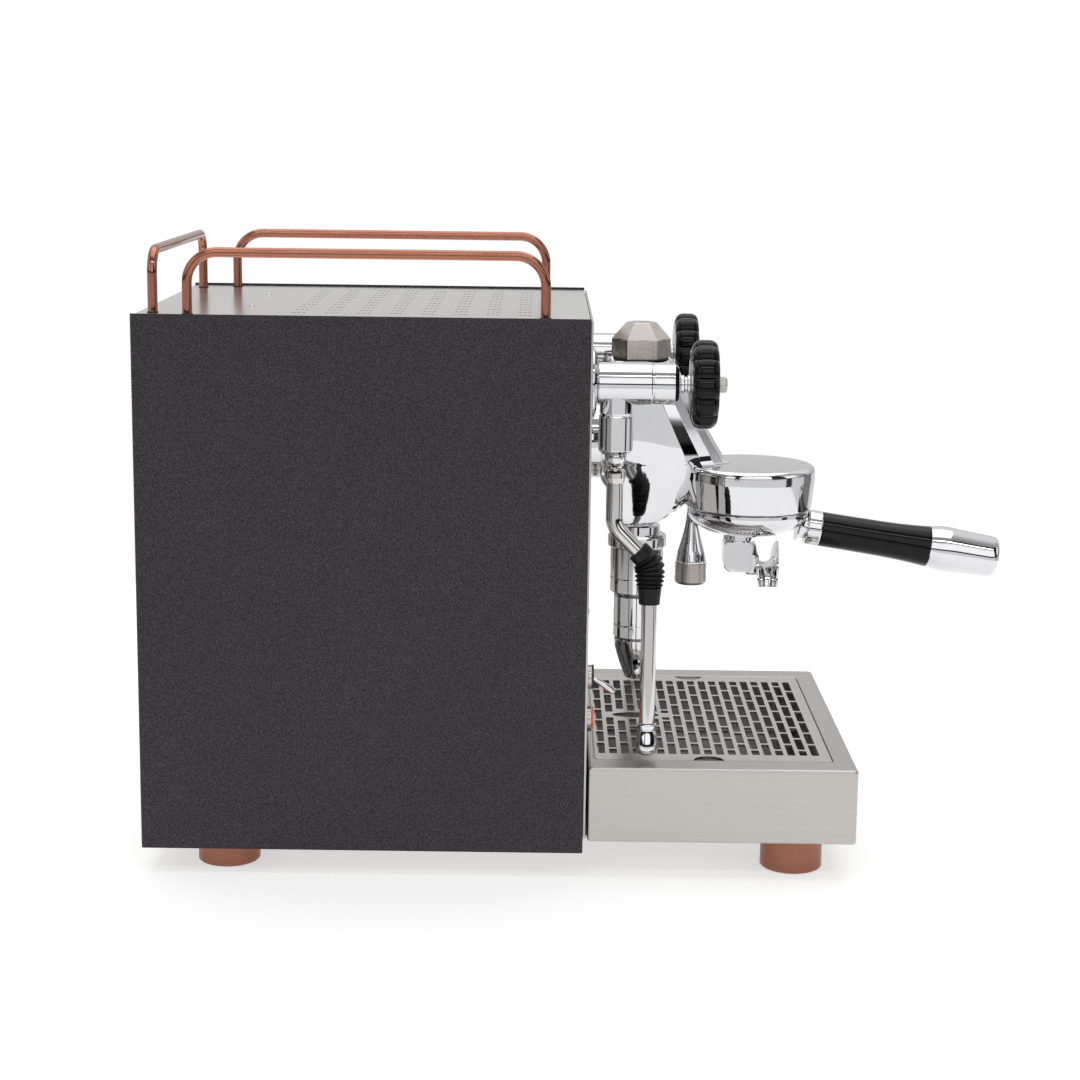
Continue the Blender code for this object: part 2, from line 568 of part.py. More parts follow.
# ----------------------------------------------- steam and hot water valves
for name, s in (("steam", -1), ("water", 1)):
    x = s * VALVE_X
    lathe(
        f"{name}_escutcheon",
        [(10.0, FRONT_FACE + GAP), (22.0, FRONT_FACE + GAP), (22.0, FRONT_FACE + 1.2), (17.0, 279.4), (10.0, 279.4)],
        (x, 0, VALVE_Z), "d", 28, "chrome")
    valve = lathe(
        f"{name}_valve_body",
        [(0, 262.0), (9.5, 262.0), (9.5, 279.7), (12.4, 279.7), (13.0, 280.4), (13.0, 312.9), (12.4, 313.4), (12.4, 313.9),
         (12.8, 314.4), (12.8, 327.6), (11.0, 329.2), (8.0, 330.2), (0, 330.2)],
        (x, 0, VALVE_Z), "d", 24, "chrome")
    unite(
        valve,
        lathe("branch", [(0, 268.0), (8.0, 268.0), (8.0, 285.0), (0, 285.0)], (x, BALL_D, 0), "z", 20),
        lathe("socket_body", [(0, 247.0), (8.6, 247.0), (10.6, 250.0), (10.6, 270.6), (9.6, 272.0), (0, 272.0)],
              (x, BALL_D, 0), "z", 20))
    cut(valve, lathe(
        "ball_socket",
        [(0, BALL_Z - 7.2)] + [(7.2 * math.sin(a), BALL_Z - 7.2 * math.cos(a)) for a in (math.pi * k / 8 for k in range(1, 8))]
        + [(0, BALL_Z + 7.2)],
        (x, BALL_D, 0), "z", 20))

    # The knob: broad lobes with narrow grooves between them, round a hub.
    turn = joint_empty(f"{name}_knob_axis", (x, KNOB_D0, VALVE_Z))
    lobes, outline = 12, []
    for k in range(lobes):
        for part, r in ((0.07, 25.4), (0.22, 27.5), (0.50, KNOB_R), (0.78, 27.5), (0.93, 25.4)):
            a = 2 * math.pi * (k + part) / lobes
            outline.append((r * math.cos(a), r * math.sin(a)))

    def knob_ring(scale, d):
        return [(x + scale * px, d, VALVE_Z + scale * pz) for px, pz in outline]

    knob = loft(
        f"{name}_knob",
        [knob_ring(0.93, KNOB_D0), knob_ring(1.0, KNOB_D0 + 2.2), knob_ring(1.0, KNOB_D1 - 2.2), knob_ring(0.93, KNOB_D1)],
        "black")
    cut(knob, lathe("knob_bore", [(0, KNOB_D0 - 3), (4.4, KNOB_D0 - 3), (4.4, KNOB_D1 + 3), (0, KNOB_D1 + 3)],
                    (x, 0, VALVE_Z), "d", 16))
    stem = lathe(
        f"{name}_stem",
        [(0, 330.5), (5.6, 330.5), (5.6, 336.6), (4.0, 336.6), (4.0, KNOB_D1 + GAP), (5.2, KNOB_D1 + GAP), (5.2, 358.4),
         (4.4, 359.2), (0, 359.2)],
        (x, 0, VALVE_Z), "d", 12, "nickel")
    hang(turn, knob, stem)

    # The jointed wand: a ball that swivels, and the pipe that tilts about it.
    swivel = joint_empty(f"{name}_swivel_axis", (x, BALL_D, BALL_Z))
    tilt = joint_empty(f"{name}_tilt_axis", (x, BALL_D, BALL_Z), swivel)
    ball = lathe(
        f"{name}_ball",
        [(0, BALL_Z - BALL_R)]
        + [(BALL_R * math.sin(a), BALL_Z - BALL_R * math.cos(a)) for a in (math.pi * k / 8 for k in range(1, 8))]
        + [(0, BALL_Z + BALL_R)],
        (x, BALL_D, 0), "z", 16)

    def wand_x(z):
        return x + s * WAND_LEAN * (BALL_Z - z)

    def wand_at(d, z):
        return (wand_x(z), d, z)

    elbow_z = WAND_BEND_Z - (WAND_FRONT_D - BALL_D)
    pipe_path = rounded_path(
        [wand_at(BALL_D, BALL_Z - 7.3), wand_at(BALL_D, WAND_BEND_Z), wand_at(WAND_FRONT_D, elbow_z), wand_at(WAND_FRONT_D, 79.0)],
        14.0, 4)
    pipe = sweep(f"{name}_wand", pipe_path, [WAND_R if p.z > 186 else WAND_LOW_R for p in pipe_path], 14, "chrome")
    boot_path = rounded_path(
        [wand_at(BALL_D + (WAND_BEND_Z - 187.0), 187.0), wand_at(WAND_FRONT_D, elbow_z), wand_at(WAND_FRONT_D, 151.5)], 14.0, 4)
    count = len(boot_path) - 1
    lengths = [0.0]
    for a, b in zip(boot_path, boot_path[1:]):
        lengths.append(lengths[-1] + (b - a).length)
    dense = []
    steps = 12
    for k in range(steps + 1):
        at = lengths[-1] * k / steps
        i = max(j for j in range(count + 1) if lengths[j] <= at + 1e-9)
        i = min(i, count - 1)
        share = (at - lengths[i]) / (lengths[i + 1] - lengths[i])
        dense.append(boot_path[i].lerp(boot_path[i + 1], share))
    swell = [7.2, 7.4, 8.2, 8.8, 9.2, 9.4, 9.4, 9.2, 8.8, 8.0, 6.6, 6.4, 6.4]
    boot = sweep(f"{name}_boot", dense, swell, 16, "rubber", inner=5.6)
    end = wand_x(79.0)
    tip = loft(
        f"{name}_tip",
        [circle(wand_x(z), WAND_FRONT_D, z, r, 16) for z, r in
         ((78.2, 5.6), (77.4, 6.0), (75.0, 6.0), (74.4, 5.7), (66.0, 7.1), (62.5, 7.2), (60.0, 6.0), (58.6, 3.2))],
        "chrome")
    hang(swivel, ball)
    hang(tilt, pipe, boot, tip)

# ------------------------------------------------------------- front controls
lathe(
    "toggle_collar",
    [(3.4, 264.0), (5.8, 264.0), (5.8, FRONT_FACE + GAP), (7.6, FRONT_FACE + GAP), (7.6, 279.8), (6.8, 280.6), (3.4, 280.6)],
    (-VALVE_X, 0, 105.0), "d", 20, "nickel")
toggle_axis = joint_empty("toggle_axis", (-VALVE_X, 272.0, 105.0))
slant = math.radians(34)
bat = [Vector((-VALVE_X, 284.0 + t * math.cos(slant), 101.9 - t * math.sin(slant))) for t in (0.0, 9.0, 11.0, 12.0)]
toggle = sweep("toggle_lever", [(-VALVE_X, 268.0, 105.0), (-VALVE_X, 277.0, 104.6), (-VALVE_X, 281.0, 103.2)] + bat,
               [1.3, 1.3, 1.5, 1.9, 2.4, 2.2, 1.4], 12, "chrome")
hang(toggle_axis, toggle)

lathe(
    "pilot_lamp",
    [(0, 262.0), (6.8, 262.0), (6.8, FRONT_FACE + GAP), (8.7, FRONT_FACE + GAP), (8.7, 280.0), (7.6, 281.0), (0, 281.0)],
    (-VALVE_X, 0, 78.5), "d", 20, "amber")
lathe(
    "status_lamp",
    [(0, 268.0), (2.7, 268.0), (2.7, FRONT_FACE + GAP), (3.4, FRONT_FACE + GAP), (3.4, 279.4), (2.2, 280.9), (0, 281.2)],
    (62.0, 0, 112.4), "d", 14, "copper")
lathe(
    "pressure_gauge",
    [(0, 258.0), (18.6, 258.0), (18.6, FRONT_FACE + GAP), (21.4, FRONT_FACE + GAP), (21.4, 277.8), (20.2, 278.4),
     (18.2, 278.4), (18.2, 277.0), (0, 277.0)],
    (62.0, 0, 165.0), "d", 32, "nickel")

# ------------------------------------------------------------------ drip tray
slide = joint_empty("drip_tray_axis", (0, TRAY_D0, TRAY_Z0))
tray = box("drip_tray", (-HALF, HALF), (TRAY_D0, TRAY_D1), (TRAY_Z0, TRAY_Z1), "brushed", 1.2)
INNER = HALF - SHEET
cut(
    tray,
    box("well", (-INNER, INNER), (TRAY_D0 + SHEET, TRAY_D1 - SHEET), (TRAY_Z0 + SHEET, 50.5)),
    box("mouth", (-101.0, 101.0), (GRILLE_D0 + 3.0, GRILLE_D1 - 4.0), (40.0, 60.0)),
    box("seat", (-GRILLE_X - 0.5, GRILLE_X + 0.5), (GRILLE_D0 - 0.5, GRILLE_D1 + 0.5), (53.4, 60.0)))

grille = box("drip_grille", (-GRILLE_X, GRILLE_X), (GRILLE_D0, GRILLE_D1), (53.7, 55.2), "polished")
ROWS, COLS = 9, 4
pitch_d = (GRILLE_D1 - GRILLE_D0 - 14.0) / ROWS
pitch_x = (2 * GRILLE_X - 20.0) / COLS
openings = [
    box(
        "slot",
        (-GRILLE_X + 12.0 + pitch_x * c, -GRILLE_X + 8.0 + pitch_x * (c + 1)),
        (GRILLE_D0 + 9.0 + pitch_d * r, GRILLE_D0 + 5.0 + pitch_d * (r + 1)),
        (50.0, 60.0))
    for r in range(ROWS) for c in range(COLS)]
first = openings[0]
for other in openings[1:]:
    mesh = bmesh.new()
    mesh.from_mesh(first.data)
    mesh.from_mesh(other.data)
    mesh.to_mesh(first.data)
    mesh.free()
    bpy.data.objects.remove(other)
cut(grille, first)
hang(slide, tray, grille)

bpy.context.view_layer.update()
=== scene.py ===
"""Looks for the compact lever-group espresso machine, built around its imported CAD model.

Pieces are laid out in millimetres as (x, d, z), like the CAD: x to the user's
right, d forward from the rear edge of the side panels, z up from their bottom
edge. pt() turns that into the row frame, from the place of the side panel.
"""

import math

import bmesh
import bpy
from mathutils import Matrix, Vector


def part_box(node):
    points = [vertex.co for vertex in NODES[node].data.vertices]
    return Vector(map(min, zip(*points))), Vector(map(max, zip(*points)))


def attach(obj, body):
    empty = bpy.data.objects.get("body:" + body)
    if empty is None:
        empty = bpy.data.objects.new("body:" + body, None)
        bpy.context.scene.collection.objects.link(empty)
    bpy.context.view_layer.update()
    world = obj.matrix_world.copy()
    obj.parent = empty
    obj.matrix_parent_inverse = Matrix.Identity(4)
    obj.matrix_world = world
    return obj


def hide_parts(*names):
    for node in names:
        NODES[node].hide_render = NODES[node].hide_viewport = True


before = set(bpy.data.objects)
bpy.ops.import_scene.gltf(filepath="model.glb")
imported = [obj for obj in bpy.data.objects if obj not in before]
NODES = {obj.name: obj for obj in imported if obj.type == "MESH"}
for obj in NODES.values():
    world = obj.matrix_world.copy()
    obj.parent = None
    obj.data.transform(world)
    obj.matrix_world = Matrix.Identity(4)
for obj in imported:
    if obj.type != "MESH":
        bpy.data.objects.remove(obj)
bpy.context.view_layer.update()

MM = 0.001
_low, _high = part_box("side_panel_left")
REAR_Y, BASE_Z = _high.y, _low.z


def pt(x, d, z):
    """Layout millimetres to the row frame."""
    return Vector((x * MM, REAR_Y - d * MM, BASE_Z + z * MM))


def span(node):
    """A CAD node's extent as ((x, x), (d, d), (z, z)) in layout millimetres."""
    a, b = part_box(node)
    return (
        (a.x / MM, b.x / MM),
        ((REAR_Y - b.y) / MM, (REAR_Y - a.y) / MM),
        ((a.z - BASE_Z) / MM, (b.z - BASE_Z) / MM),
    )


def middle(pair):
    return (pair[0] + pair[1]) / 2


# Places read from the CAD model.
PANEL_X, PANEL_D, PANEL_Z = span("side_panel_left")[0][0], span("side_panel_left")[1], span("side_panel_left")[2]
TOP_X, TOP_D, TOP_ZS = span("cup_tray_top")
TOP_Z = TOP_ZS[1]
FRONT = span("front_panel")[1][1]
KNOB_X, KNOB_D, KNOB_ZS = span("steam_knob")
VALVE_X, VALVE_Z = -middle(KNOB_X), middle(KNOB_ZS)
CHAMBER_D = middle(span("lower_chamber")[1])
BELL_D = middle(span("filter_basket")[1])
BALL_D, BALL_Z = middle(span("steam_ball")[1]), middle(span("steam_ball")[2])
MOUNT_Z = middle(span("group_mount")[2])
LEVER_X, LEVER_D = middle(span("lever_handle")[0]), middle(span("lever_handle")[1])
TRAY_X, TRAY_D, TRAY_Z = span("drip_tray")
GRILLE_X, GRILLE_D, GRILLE_Z = span("drip_grille")
FOOT_Z = span("foot_front_left")[2]


# ------------------------------------------------------------------ materials
def new_material(name, rgb, metallic=0.0, rough=0.5, **sockets):
    mat = bpy.data.materials.new(name)
    mat.use_nodes = True
    tree = mat.node_tree
    shader = tree.nodes["Principled BSDF"]
    shader.inputs["Base Color"].default_value = (*rgb, 1.0)
    shader.inputs["Metallic"].default_value = metallic
    shader.inputs["Roughness"].default_value = rough
    for key, value in sockets.items():
        socket = shader.inputs[key.replace("_", " ").title().replace("Ior", "IOR")]
        socket.default_value = (*value, 1.0) if isinstance(value, tuple) else value
    mat.diffuse_color = (*rgb, 1.0)
    return mat, tree, shader


def node(tree, kind, **settings):
    made = tree.nodes.new(kind)
    for key, value in settings.items():
        setattr(made, key, value)
    return made


def wired(tree, target, value):
    if isinstance(value, (int, float)):
        target.default_value = value
    elif isinstance(value, tuple):
        target.default_value = (*value, 1.0) if len(value) == 3 and target.type == "RGBA" else value
    else:
        tree.links.new(value, target)


def place_of(tree, stretch=(1, 1, 1), turn=(0, 0, 0)):
    where = node(tree, "ShaderNodeTexCoord")
    mapping = node(tree, "ShaderNodeMapping")
    mapping.inputs["Scale"].default_value = stretch
    mapping.inputs["Rotation"].default_value = turn
    tree.links.new(where.outputs["Object"], mapping.inputs["Vector"])
    return mapping.outputs["Vector"]


def noise(tree, scale, detail=2.0, rough=0.5, stretch=(1, 1, 1)):
    made = node(tree, "ShaderNodeTexNoise")
    made.inputs["Scale"].default_value = scale
    made.inputs["Detail"].default_value = detail
    made.inputs["Roughness"].default_value = rough
    tree.links.new(place_of(tree, stretch), made.inputs["Vector"])
    return made.outputs["Fac"]


def spread(tree, value, low, high, start=0.3, end=0.7):
    """A factor's range start to end becomes low to high."""
    made = node(tree, "ShaderNodeMapRange")
    wired(tree, made.inputs["Value"], value)
    made.inputs["From Min"].default_value = start
    made.inputs["From Max"].default_value = end
    made.inputs["To Min"].default_value = low
    made.inputs["To Max"].default_value = high
    return made.outputs["Result"]


def tint(tree, value, low, high, start=0.3, end=0.7):
    made = node(tree, "ShaderNodeValToRGB")
    made.color_ramp.elements[0].position = start
    made.color_ramp.elements[0].color = (*low, 1.0)
    made.color_ramp.elements[1].position = end
    made.color_ramp.elements[1].color = (*high, 1.0)
    wired(tree, made.inputs["Fac"], value)
    return made.outputs["Color"]


def math_node(tree, operation, a, b=0.0):
    made = node(tree, "ShaderNodeMath", operation=operation)
    wired(tree, made.inputs[0], a)
    wired(tree, made.inputs[1], b)
    return made.outputs["Value"]


def mixed_colour(tree, factor, a, b, blend="MIX"):
    made = node(tree, "ShaderNodeMix", data_type="RGBA", blend_type=blend)
    wired(tree, made.inputs[0], factor)
    wired(tree, made.inputs[6], a)
    wired(tree, made.inputs[7], b)
    return made.outputs[2]


def bump(tree, shader, height, depth_mm, strength=1.0):
    made = node(tree, "ShaderNodeBump")
    made.inputs["Strength"].default_value = strength
    made.inputs["Distance"].default_value = depth_mm * MM
    wired(tree, made.inputs["Height"], height)
    tree.links.new(made.outputs["Normal"], shader.inputs["Normal"])
    return made


def scaled(rgb, by):
    return tuple(min(1.0, c * by) for c in rgb)


def powder_coat(name="anthracite_powder_coat"):
    """Fine metallic-flake powder coat: orange-peel bump and scattered bright flakes."""
    mat, tree, shader = new_material(name, (0.026, 0.025, 0.029), 0.0, 0.5, specular_ior_level=0.20)
    grain = noise(tree, 1050.0, 3.0, 0.7)
    cells = node(tree, "ShaderNodeTexVoronoi", feature="F1")
    cells.inputs["Scale"].default_value = 1500.0
    tree.links.new(place_of(tree), cells.inputs["Vector"])
    parts = node(tree, "ShaderNodeSeparateColor")
    tree.links.new(cells.outputs["Color"], parts.inputs["Color"])
    flake = math_node(tree, "GREATER_THAN", parts.outputs["Red"], 0.86)
    small = math_node(tree, "LESS_THAN", cells.outputs["Distance"], 0.42)
    flake = math_node(tree, "MULTIPLY", flake, small)
    base = tint(tree, grain, (0.012, 0.0110, 0.0125), (0.066, 0.0610, 0.0675), 0.36, 0.66)
    flecked = mixed_colour(tree, flake, base, (0.24, 0.23, 0.25))
    cloud = tint(tree, noise(tree, 9.0, 3.0), (0.90, 0.90, 0.90), (1.0, 1.0, 1.0))
    tree.links.new(mixed_colour(tree, 1.0, flecked, cloud, "MULTIPLY"), shader.inputs["Base Color"])
    tree.links.new(spread(tree, grain, 0.42, 0.62), shader.inputs["Roughness"])
    bump(tree, shader, grain, 0.10, 0.55)
    return mat


def steel(name, rgb, rough, grain_axis, contrast=0.06, depth=0.006):
    """Sheet steel with its grain along one layout axis: "x", "d" or "z"."""
    mat, tree, shader = new_material(name, rgb, 1.0, rough)
    fine, along = 2600.0, 22.0
    stretch = {"x": (along, fine, fine), "d": (fine, along, fine), "z": (fine, fine, along)}[grain_axis]
    lines = noise(tree, 1.0, 3.0, 0.7, stretch)
    broad = noise(tree, 1.0, 2.0, 0.5, tuple(s * 0.12 for s in stretch))
    mixed = math_node(tree, "MULTIPLY", lines, 0.6)
    total = math_node(tree, "ADD", mixed, math_node(tree, "MULTIPLY", broad, 0.4))
    tree.links.new(tint(tree, total, scaled(rgb, 1 - contrast), scaled(rgb, 1 + contrast), 0.36, 0.64), shader.inputs["Base Color"])
    tree.links.new(spread(tree, total, rough * 0.82, rough * 1.2), shader.inputs["Roughness"])
    bump(tree, shader, lines, depth, 0.5)
    return mat


def mirror_metal(name, rgb, rough, wave_mm=0.012, wear=0.5):
    """Plated or polished metal: a little waviness, and smudges that only change the gloss."""
    mat, tree, shader = new_material(name, rgb, 1.0, rough)
    smudge = noise(tree, 45.0, 5.0, 0.62)
    fine = noise(tree, 900.0, 2.0, 0.5)
    total = math_node(tree, "ADD", math_node(tree, "MULTIPLY", smudge, 0.75), math_node(tree, "MULTIPLY", fine, 0.25))
    tree.links.new(spread(tree, total, rough * (1 - wear * 0.5), rough * (1 + wear), 0.38, 0.66), shader.inputs["Roughness"])
    tree.links.new(tint(tree, smudge, scaled(rgb, 0.965), rgb), shader.inputs["Base Color"])
    bump(tree, shader, noise(tree, 38.0, 1.0), wave_mm, 1.0)
    return mat


def satin_metal(name, rgb, rough, contrast=0.10):
    """Blasted or tumbled metal with a fine even grain."""
    mat, tree, shader = new_material(name, rgb, 1.0, rough)
    grain = noise(tree, 2600.0, 2.0, 0.6)
    cloud = noise(tree, 60.0, 4.0, 0.55)
    total = math_node(tree, "ADD", math_node(tree, "MULTIPLY", grain, 0.5), math_node(tree, "MULTIPLY", cloud, 0.5))
    tree.links.new(tint(tree, total, scaled(rgb, 1 - contrast), scaled(rgb, 1 + contrast), 0.36, 0.64), shader.inputs["Base Color"])
    tree.links.new(spread(tree, total, rough * 0.85, rough * 1.2), shader.inputs["Roughness"])
    bump(tree, shader, grain, 0.012, 0.6)
    return mat


def plastic(name, rgb, rough, contrast=0.12, depth=0.02, scale=1500.0, **sockets):
    mat, tree, shader = new_material(name, rgb, 0.0, rough, **sockets)
    grain = noise(tree, scale, 2.0, 0.55)
    cloud = noise(tree, 35.0, 4.0, 0.6)
    tree.links.new(tint(tree, cloud, scaled(rgb, 1 - contrast), scaled(rgb, 1 + contrast)), shader.inputs["Base Color"])
    tree.links.new(spread(tree, cloud, rough * 0.85, rough * 1.2), shader.inputs["Roughness"])
    bump(tree, shader, grain, depth, 0.5)
    return mat


M = {
    "powder": powder_coat(),
    "top": steel("polished_sheet", (0.80, 0.79, 0.775), 0.20, "d", 0.02, 0.002),
    "front": steel("polished_front", (0.46, 0.44, 0.425), 0.10, "z", 0.015, 0.001),
    "brushed": steel("brushed_stainless", (0.50, 0.475, 0.455), 0.30, "d", 0.035, 0.004),
    "brushed_x": steel("brushed_stainless_x", (0.60, 0.585, 0.565), 0.30, "x", 0.07, 0.008),
    "grille": steel("grille_stainless", (0.56, 0.55, 0.53), 0.26, "x", 0.05, 0.004),
    "turned": steel("turned_stainless", (0.44, 0.40, 0.375), 0.24, "x", 0.09, 0.006),
    "chrome": mirror_metal("chrome_plate", (0.70, 0.70, 0.715), 0.03),
    "chrome_bar": mirror_metal("polished_stainless", (0.62, 0.61, 0.60), 0.05),
    "copper": satin_metal("copper_finish", (0.36, 0.15, 0.10), 0.13, 0.05),
    "copper_foot": satin_metal("copper_satin", (0.31, 0.135, 0.09), 0.36, 0.10),
    "nickel": satin_metal("satin_nickel", (0.55, 0.51, 0.475), 0.25, 0.05),
    "nut": satin_metal("matte_nickel", (0.52, 0.52, 0.48), 0.42, 0.06),
    "black": plastic("black_gloss", (0.0022, 0.0020, 0.0026), 0.10, 0.2, 0.004, 300.0, specular_ior_level=0.22),
    "rubber": plastic("black_rubber", (0.0045, 0.0045, 0.005), 0.40, 0.3, 0.03, 1800.0, specular_ior_level=0.28),
    "dark": plastic("dark_plastic", (0.030, 0.030, 0.033), 0.42, 0.2, 0.03, 1400.0),
    # Painted shadow: a near-black finish put on seams, hole walls and recesses. It stands in for the shade that falls
    # there.
    "shadow": plastic("painted_gap_shadow", (0.006, 0.006, 0.006), 0.7, 0.2, 0.01, 900.0),
    "clear": plastic("tank_plastic", (0.72, 0.78, 0.80), 0.22, 0.04, 0.02, 500.0, transmission_weight=0.75, ior=1.49),
    "brass": satin_metal("brass_fitting", (0.66, 0.47, 0.22), 0.30, 0.12),
    "amber": plastic("amber_lens", (0.86, 0.13, 0.025), 0.16, 0.10, 0.01, 300.0, transmission_weight=0.15, coat_weight=0.5, coat_roughness=0.05, emission_color=(0.9, 0.12, 0.02), emission_strength=0.25),
    "white": plastic("gauge_white", (0.80, 0.80, 0.78), 0.5, 0.03, 0.01, 900.0),
    "glass": plastic("gauge_glass", (1.0, 1.0, 1.0), 0.02, 0.0, 0.001, 50.0, transmission_weight=1.0, ior=1.45),
    "red": plastic("needle_red", (0.55, 0.03, 0.02), 0.4, 0.1, 0.01, 900.0),
}


# ------------------------------------------------------------- mesh helpers
def soft(points, steps=4, closed=True):
    """Rounds each corner given as (a, b, radius). A rounded corner always gives steps + 1 points."""
    out, n = [], len(points)
    for i, p in enumerate(points):
        radius = p[2] if len(p) > 2 else 0.0
        if not radius or (not closed and i in (0, n - 1)):
            out.append((p[0], p[1]))
            continue
        here = Vector(p[:2])
        a, b = Vector(points[i - 1][:2]) - here, Vector(points[(i + 1) % n][:2]) - here
        la, lb = a.length, b.length
        a.normalize()
        b.normalize()
        angle = min(a.angle(b), math.radians(178.5))
        reach = min(radius / math.tan(angle / 2), la * 0.48, lb * 0.48)
        r = reach * math.tan(angle / 2)
        centre = here + (a + b).normalized() * (r / math.sin(angle / 2))
        s, e = here + a * reach - centre, here + b * reach - centre
        t0 = math.atan2(s.y, s.x)
        dt = (math.atan2(e.y, e.x) - t0 + math.pi) % (2 * math.pi) - math.pi
        out += [(centre.x + r * math.cos(t0 + dt * k / steps), centre.y + r * math.sin(t0 + dt * k / steps)) for k in range(steps + 1)]
    return out


def spline(points, steps=6):
    """A smooth open curve through the points, of any dimension."""
    pts = [Vector(p) for p in points]
    out = []
    for i in range(len(pts) - 1):
        p0, p1, p2, p3 = pts[max(i - 1, 0)], pts[i], pts[i + 1], pts[min(i + 2, len(pts) - 1)]
        for k in range(steps):
            t = k / steps
            out.append(0.5 * ((2 * p1) + (p2 - p0) * t + (2 * p0 - 5 * p1 + 4 * p2 - p3) * t * t + (3 * p1 - p0 - 3 * p2 + p3) * t ** 3))
    out.append(pts[-1])
    return [tuple(p) for p in out]


def blend_keys(keys, t):
    """Monotone interpolation of rows (t, a, b, ...) at t."""
    for low, high in zip(keys, keys[1:]):
        if t <= high[0] or high is keys[-1]:
            break
    i = keys.index(low)
    h = high[0] - low[0]
    u = max(0.0, min(1.0, (t - low[0]) / h))
    result = []
    for c in range(1, len(low)):
        def slope(j):
            if j <= 0 or j >= len(keys) - 1:
                return 0.0 if False else ((keys[min(j + 1, len(keys) - 1)][c] - keys[max(j - 1, 0)][c]) / (keys[min(j + 1, len(keys) - 1)][0] - keys[max(j - 1, 0)][0]))
            before = (keys[j][c] - keys[j - 1][c]) / (keys[j][0] - keys[j - 1][0])
            after = (keys[j + 1][c] - keys[j][c]) / (keys[j + 1][0] - keys[j][0])
            return 0.0 if before * after <= 0 else 2 * before * after / (before + after)
        m0, m1 = slope(i), slope(i + 1)
        a, b = low[c], high[c]
        result.append((2 * u ** 3 - 3 * u * u + 1) * a + (u ** 3 - 2 * u * u + u) * h * m0 + (3 * u * u - 2 * u ** 3) * b + (u ** 3 - u * u) * h * m1)
    return result


def made(name, bm, sharp=33.0):
    bmesh.ops.remove_doubles(bm, verts=bm.verts, dist=2e-7)
    bmesh.ops.dissolve_degenerate(bm, edges=bm.edges, dist=1e-7)
    bmesh.ops.recalc_face_normals(bm, faces=bm.faces)
    mesh = bpy.data.meshes.new(name)
    bm.to_mesh(mesh)
    bm.free()
    mesh.shade_smooth()
    mesh.set_sharp_from_angle(angle=math.radians(sharp))
    obj = bpy.data.objects.new(name, mesh)
    obj["sharp"] = sharp
    bpy.context.scene.collection.objects.link(obj)
    return obj


def combine(obj, tools, operation):
    for tool in tools:
        modifier = obj.modifiers.new("combine", "BOOLEAN")
        modifier.operation = operation
        modifier.solver = "EXACT"
        modifier.object = tool
        bpy.context.view_layer.update()
        mesh = bpy.data.meshes.new_from_object(obj.evaluated_get(bpy.context.evaluated_depsgraph_get()))
        obj.modifiers.clear()
        old = obj.data
        obj.data = mesh
        bpy.data.meshes.remove(old)
        bpy.data.objects.remove(tool)
    obj.data.name = obj.name
    obj.data.materials.clear()
    obj.data.shade_smooth()
    obj.data.set_sharp_from_angle(angle=math.radians(obj["sharp"]))
    return obj


def unite(obj, *tools):
    return combine(obj, tools, "UNION")


def cut(obj, *tools):
    return combine(obj, tools, "DIFFERENCE")


def dress(obj, finish, body, *nodes, slot=None, weighted=True):
    """Gives a piece its finish and its body, and hides the CAD nodes it stands in for."""
    obj.data.materials.clear()
    obj.data.materials.append(M[finish])
    if weighted:
        modifier = obj.modifiers.new("normals", "WEIGHTED_NORMAL")
        modifier.keep_sharp = True
        modifier.weight = 60
    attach(obj, body)
    if nodes:
        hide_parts(*nodes)
    return obj


def placer(centre, axis):
    x0, d0, z0 = centre
    if axis == "z":
        return lambda a, b, h: pt(x0 + a, d0 + b, z0 + h)
    if axis == "d":
        return lambda a, b, h: pt(x0 + a, d0 + h, z0 + b)
    return lambda a, b, h: pt(x0 + h, d0 + a, z0 + b)


def turned(name, profile, centre=(0, 0, 0), axis="z", seg=96, turn=0.0, sharp=33.0):
    """A solid of revolution from a closed profile of (radius, height) points."""
    place = placer(centre, axis)
    bm = bmesh.new()
    rings = []
    for r, h in profile:
        if r < 1e-5:
            rings.append([bm.verts.new(place(0, 0, h))] * seg)
        else:
            rings.append([bm.verts.new(place(r * math.cos(turn + 2 * math.pi * k / seg), r * math.sin(turn + 2 * math.pi * k / seg), h)) for k in range(seg)])
    pairs = list(zip(rings, rings[1:]))
    if not (profile[0][0] < 1e-5 and profile[-1][0] < 1e-5):
        pairs.append((rings[-1], rings[0]))
    for a, b in pairs:
        for k in range(seg):
            m = (k + 1) % seg
            corners = []
            for v in (a[k], a[m], b[m], b[k]):
                if v not in corners:
                    corners.append(v)
            if len(corners) > 2:
                bm.faces.new(corners)
    return made(name, bm, sharp)


def lofted(name, rings, sharp=33.0, caps=True, closed=False):
    """Joins closed rings of equal count, given as layout points."""
    bm = bmesh.new()
    rows = [[bm.verts.new(pt(*p)) for p in ring] for ring in rings]
    n = len(rows[0])
    pairs = list(zip(rows, rows[1:])) + ([(rows[-1], rows[0])] if closed else [])
    for low, high in pairs:
        for i in range(n):
            j = (i + 1) % n
            bm.faces.new((low[i], low[j], high[j], high[i]))
    if caps and not closed:
        bm.faces.new(rows[0])
        bm.faces.new(rows[-1])
    return made(name, bm, sharp)


def block(name, xs, ds, zs, radius=0.0, segments=3, sharp=33.0):
    bm = bmesh.new()
    bmesh.ops.create_cube(bm, size=1.0)
    low, high = pt(xs[0], ds[1], zs[0]), pt(xs[1], ds[0], zs[1])
    size, centre = high - low, (high + low) / 2
    for v in bm.verts:
        v.co = Vector(a * b for a, b in zip(v.co, size)) + centre
    if radius:
        bmesh.ops.bevel(bm, geom=bm.edges[:], offset=radius * MM, segments=segments, profile=0.5, affect="EDGES")
    return made(name, bm, sharp)


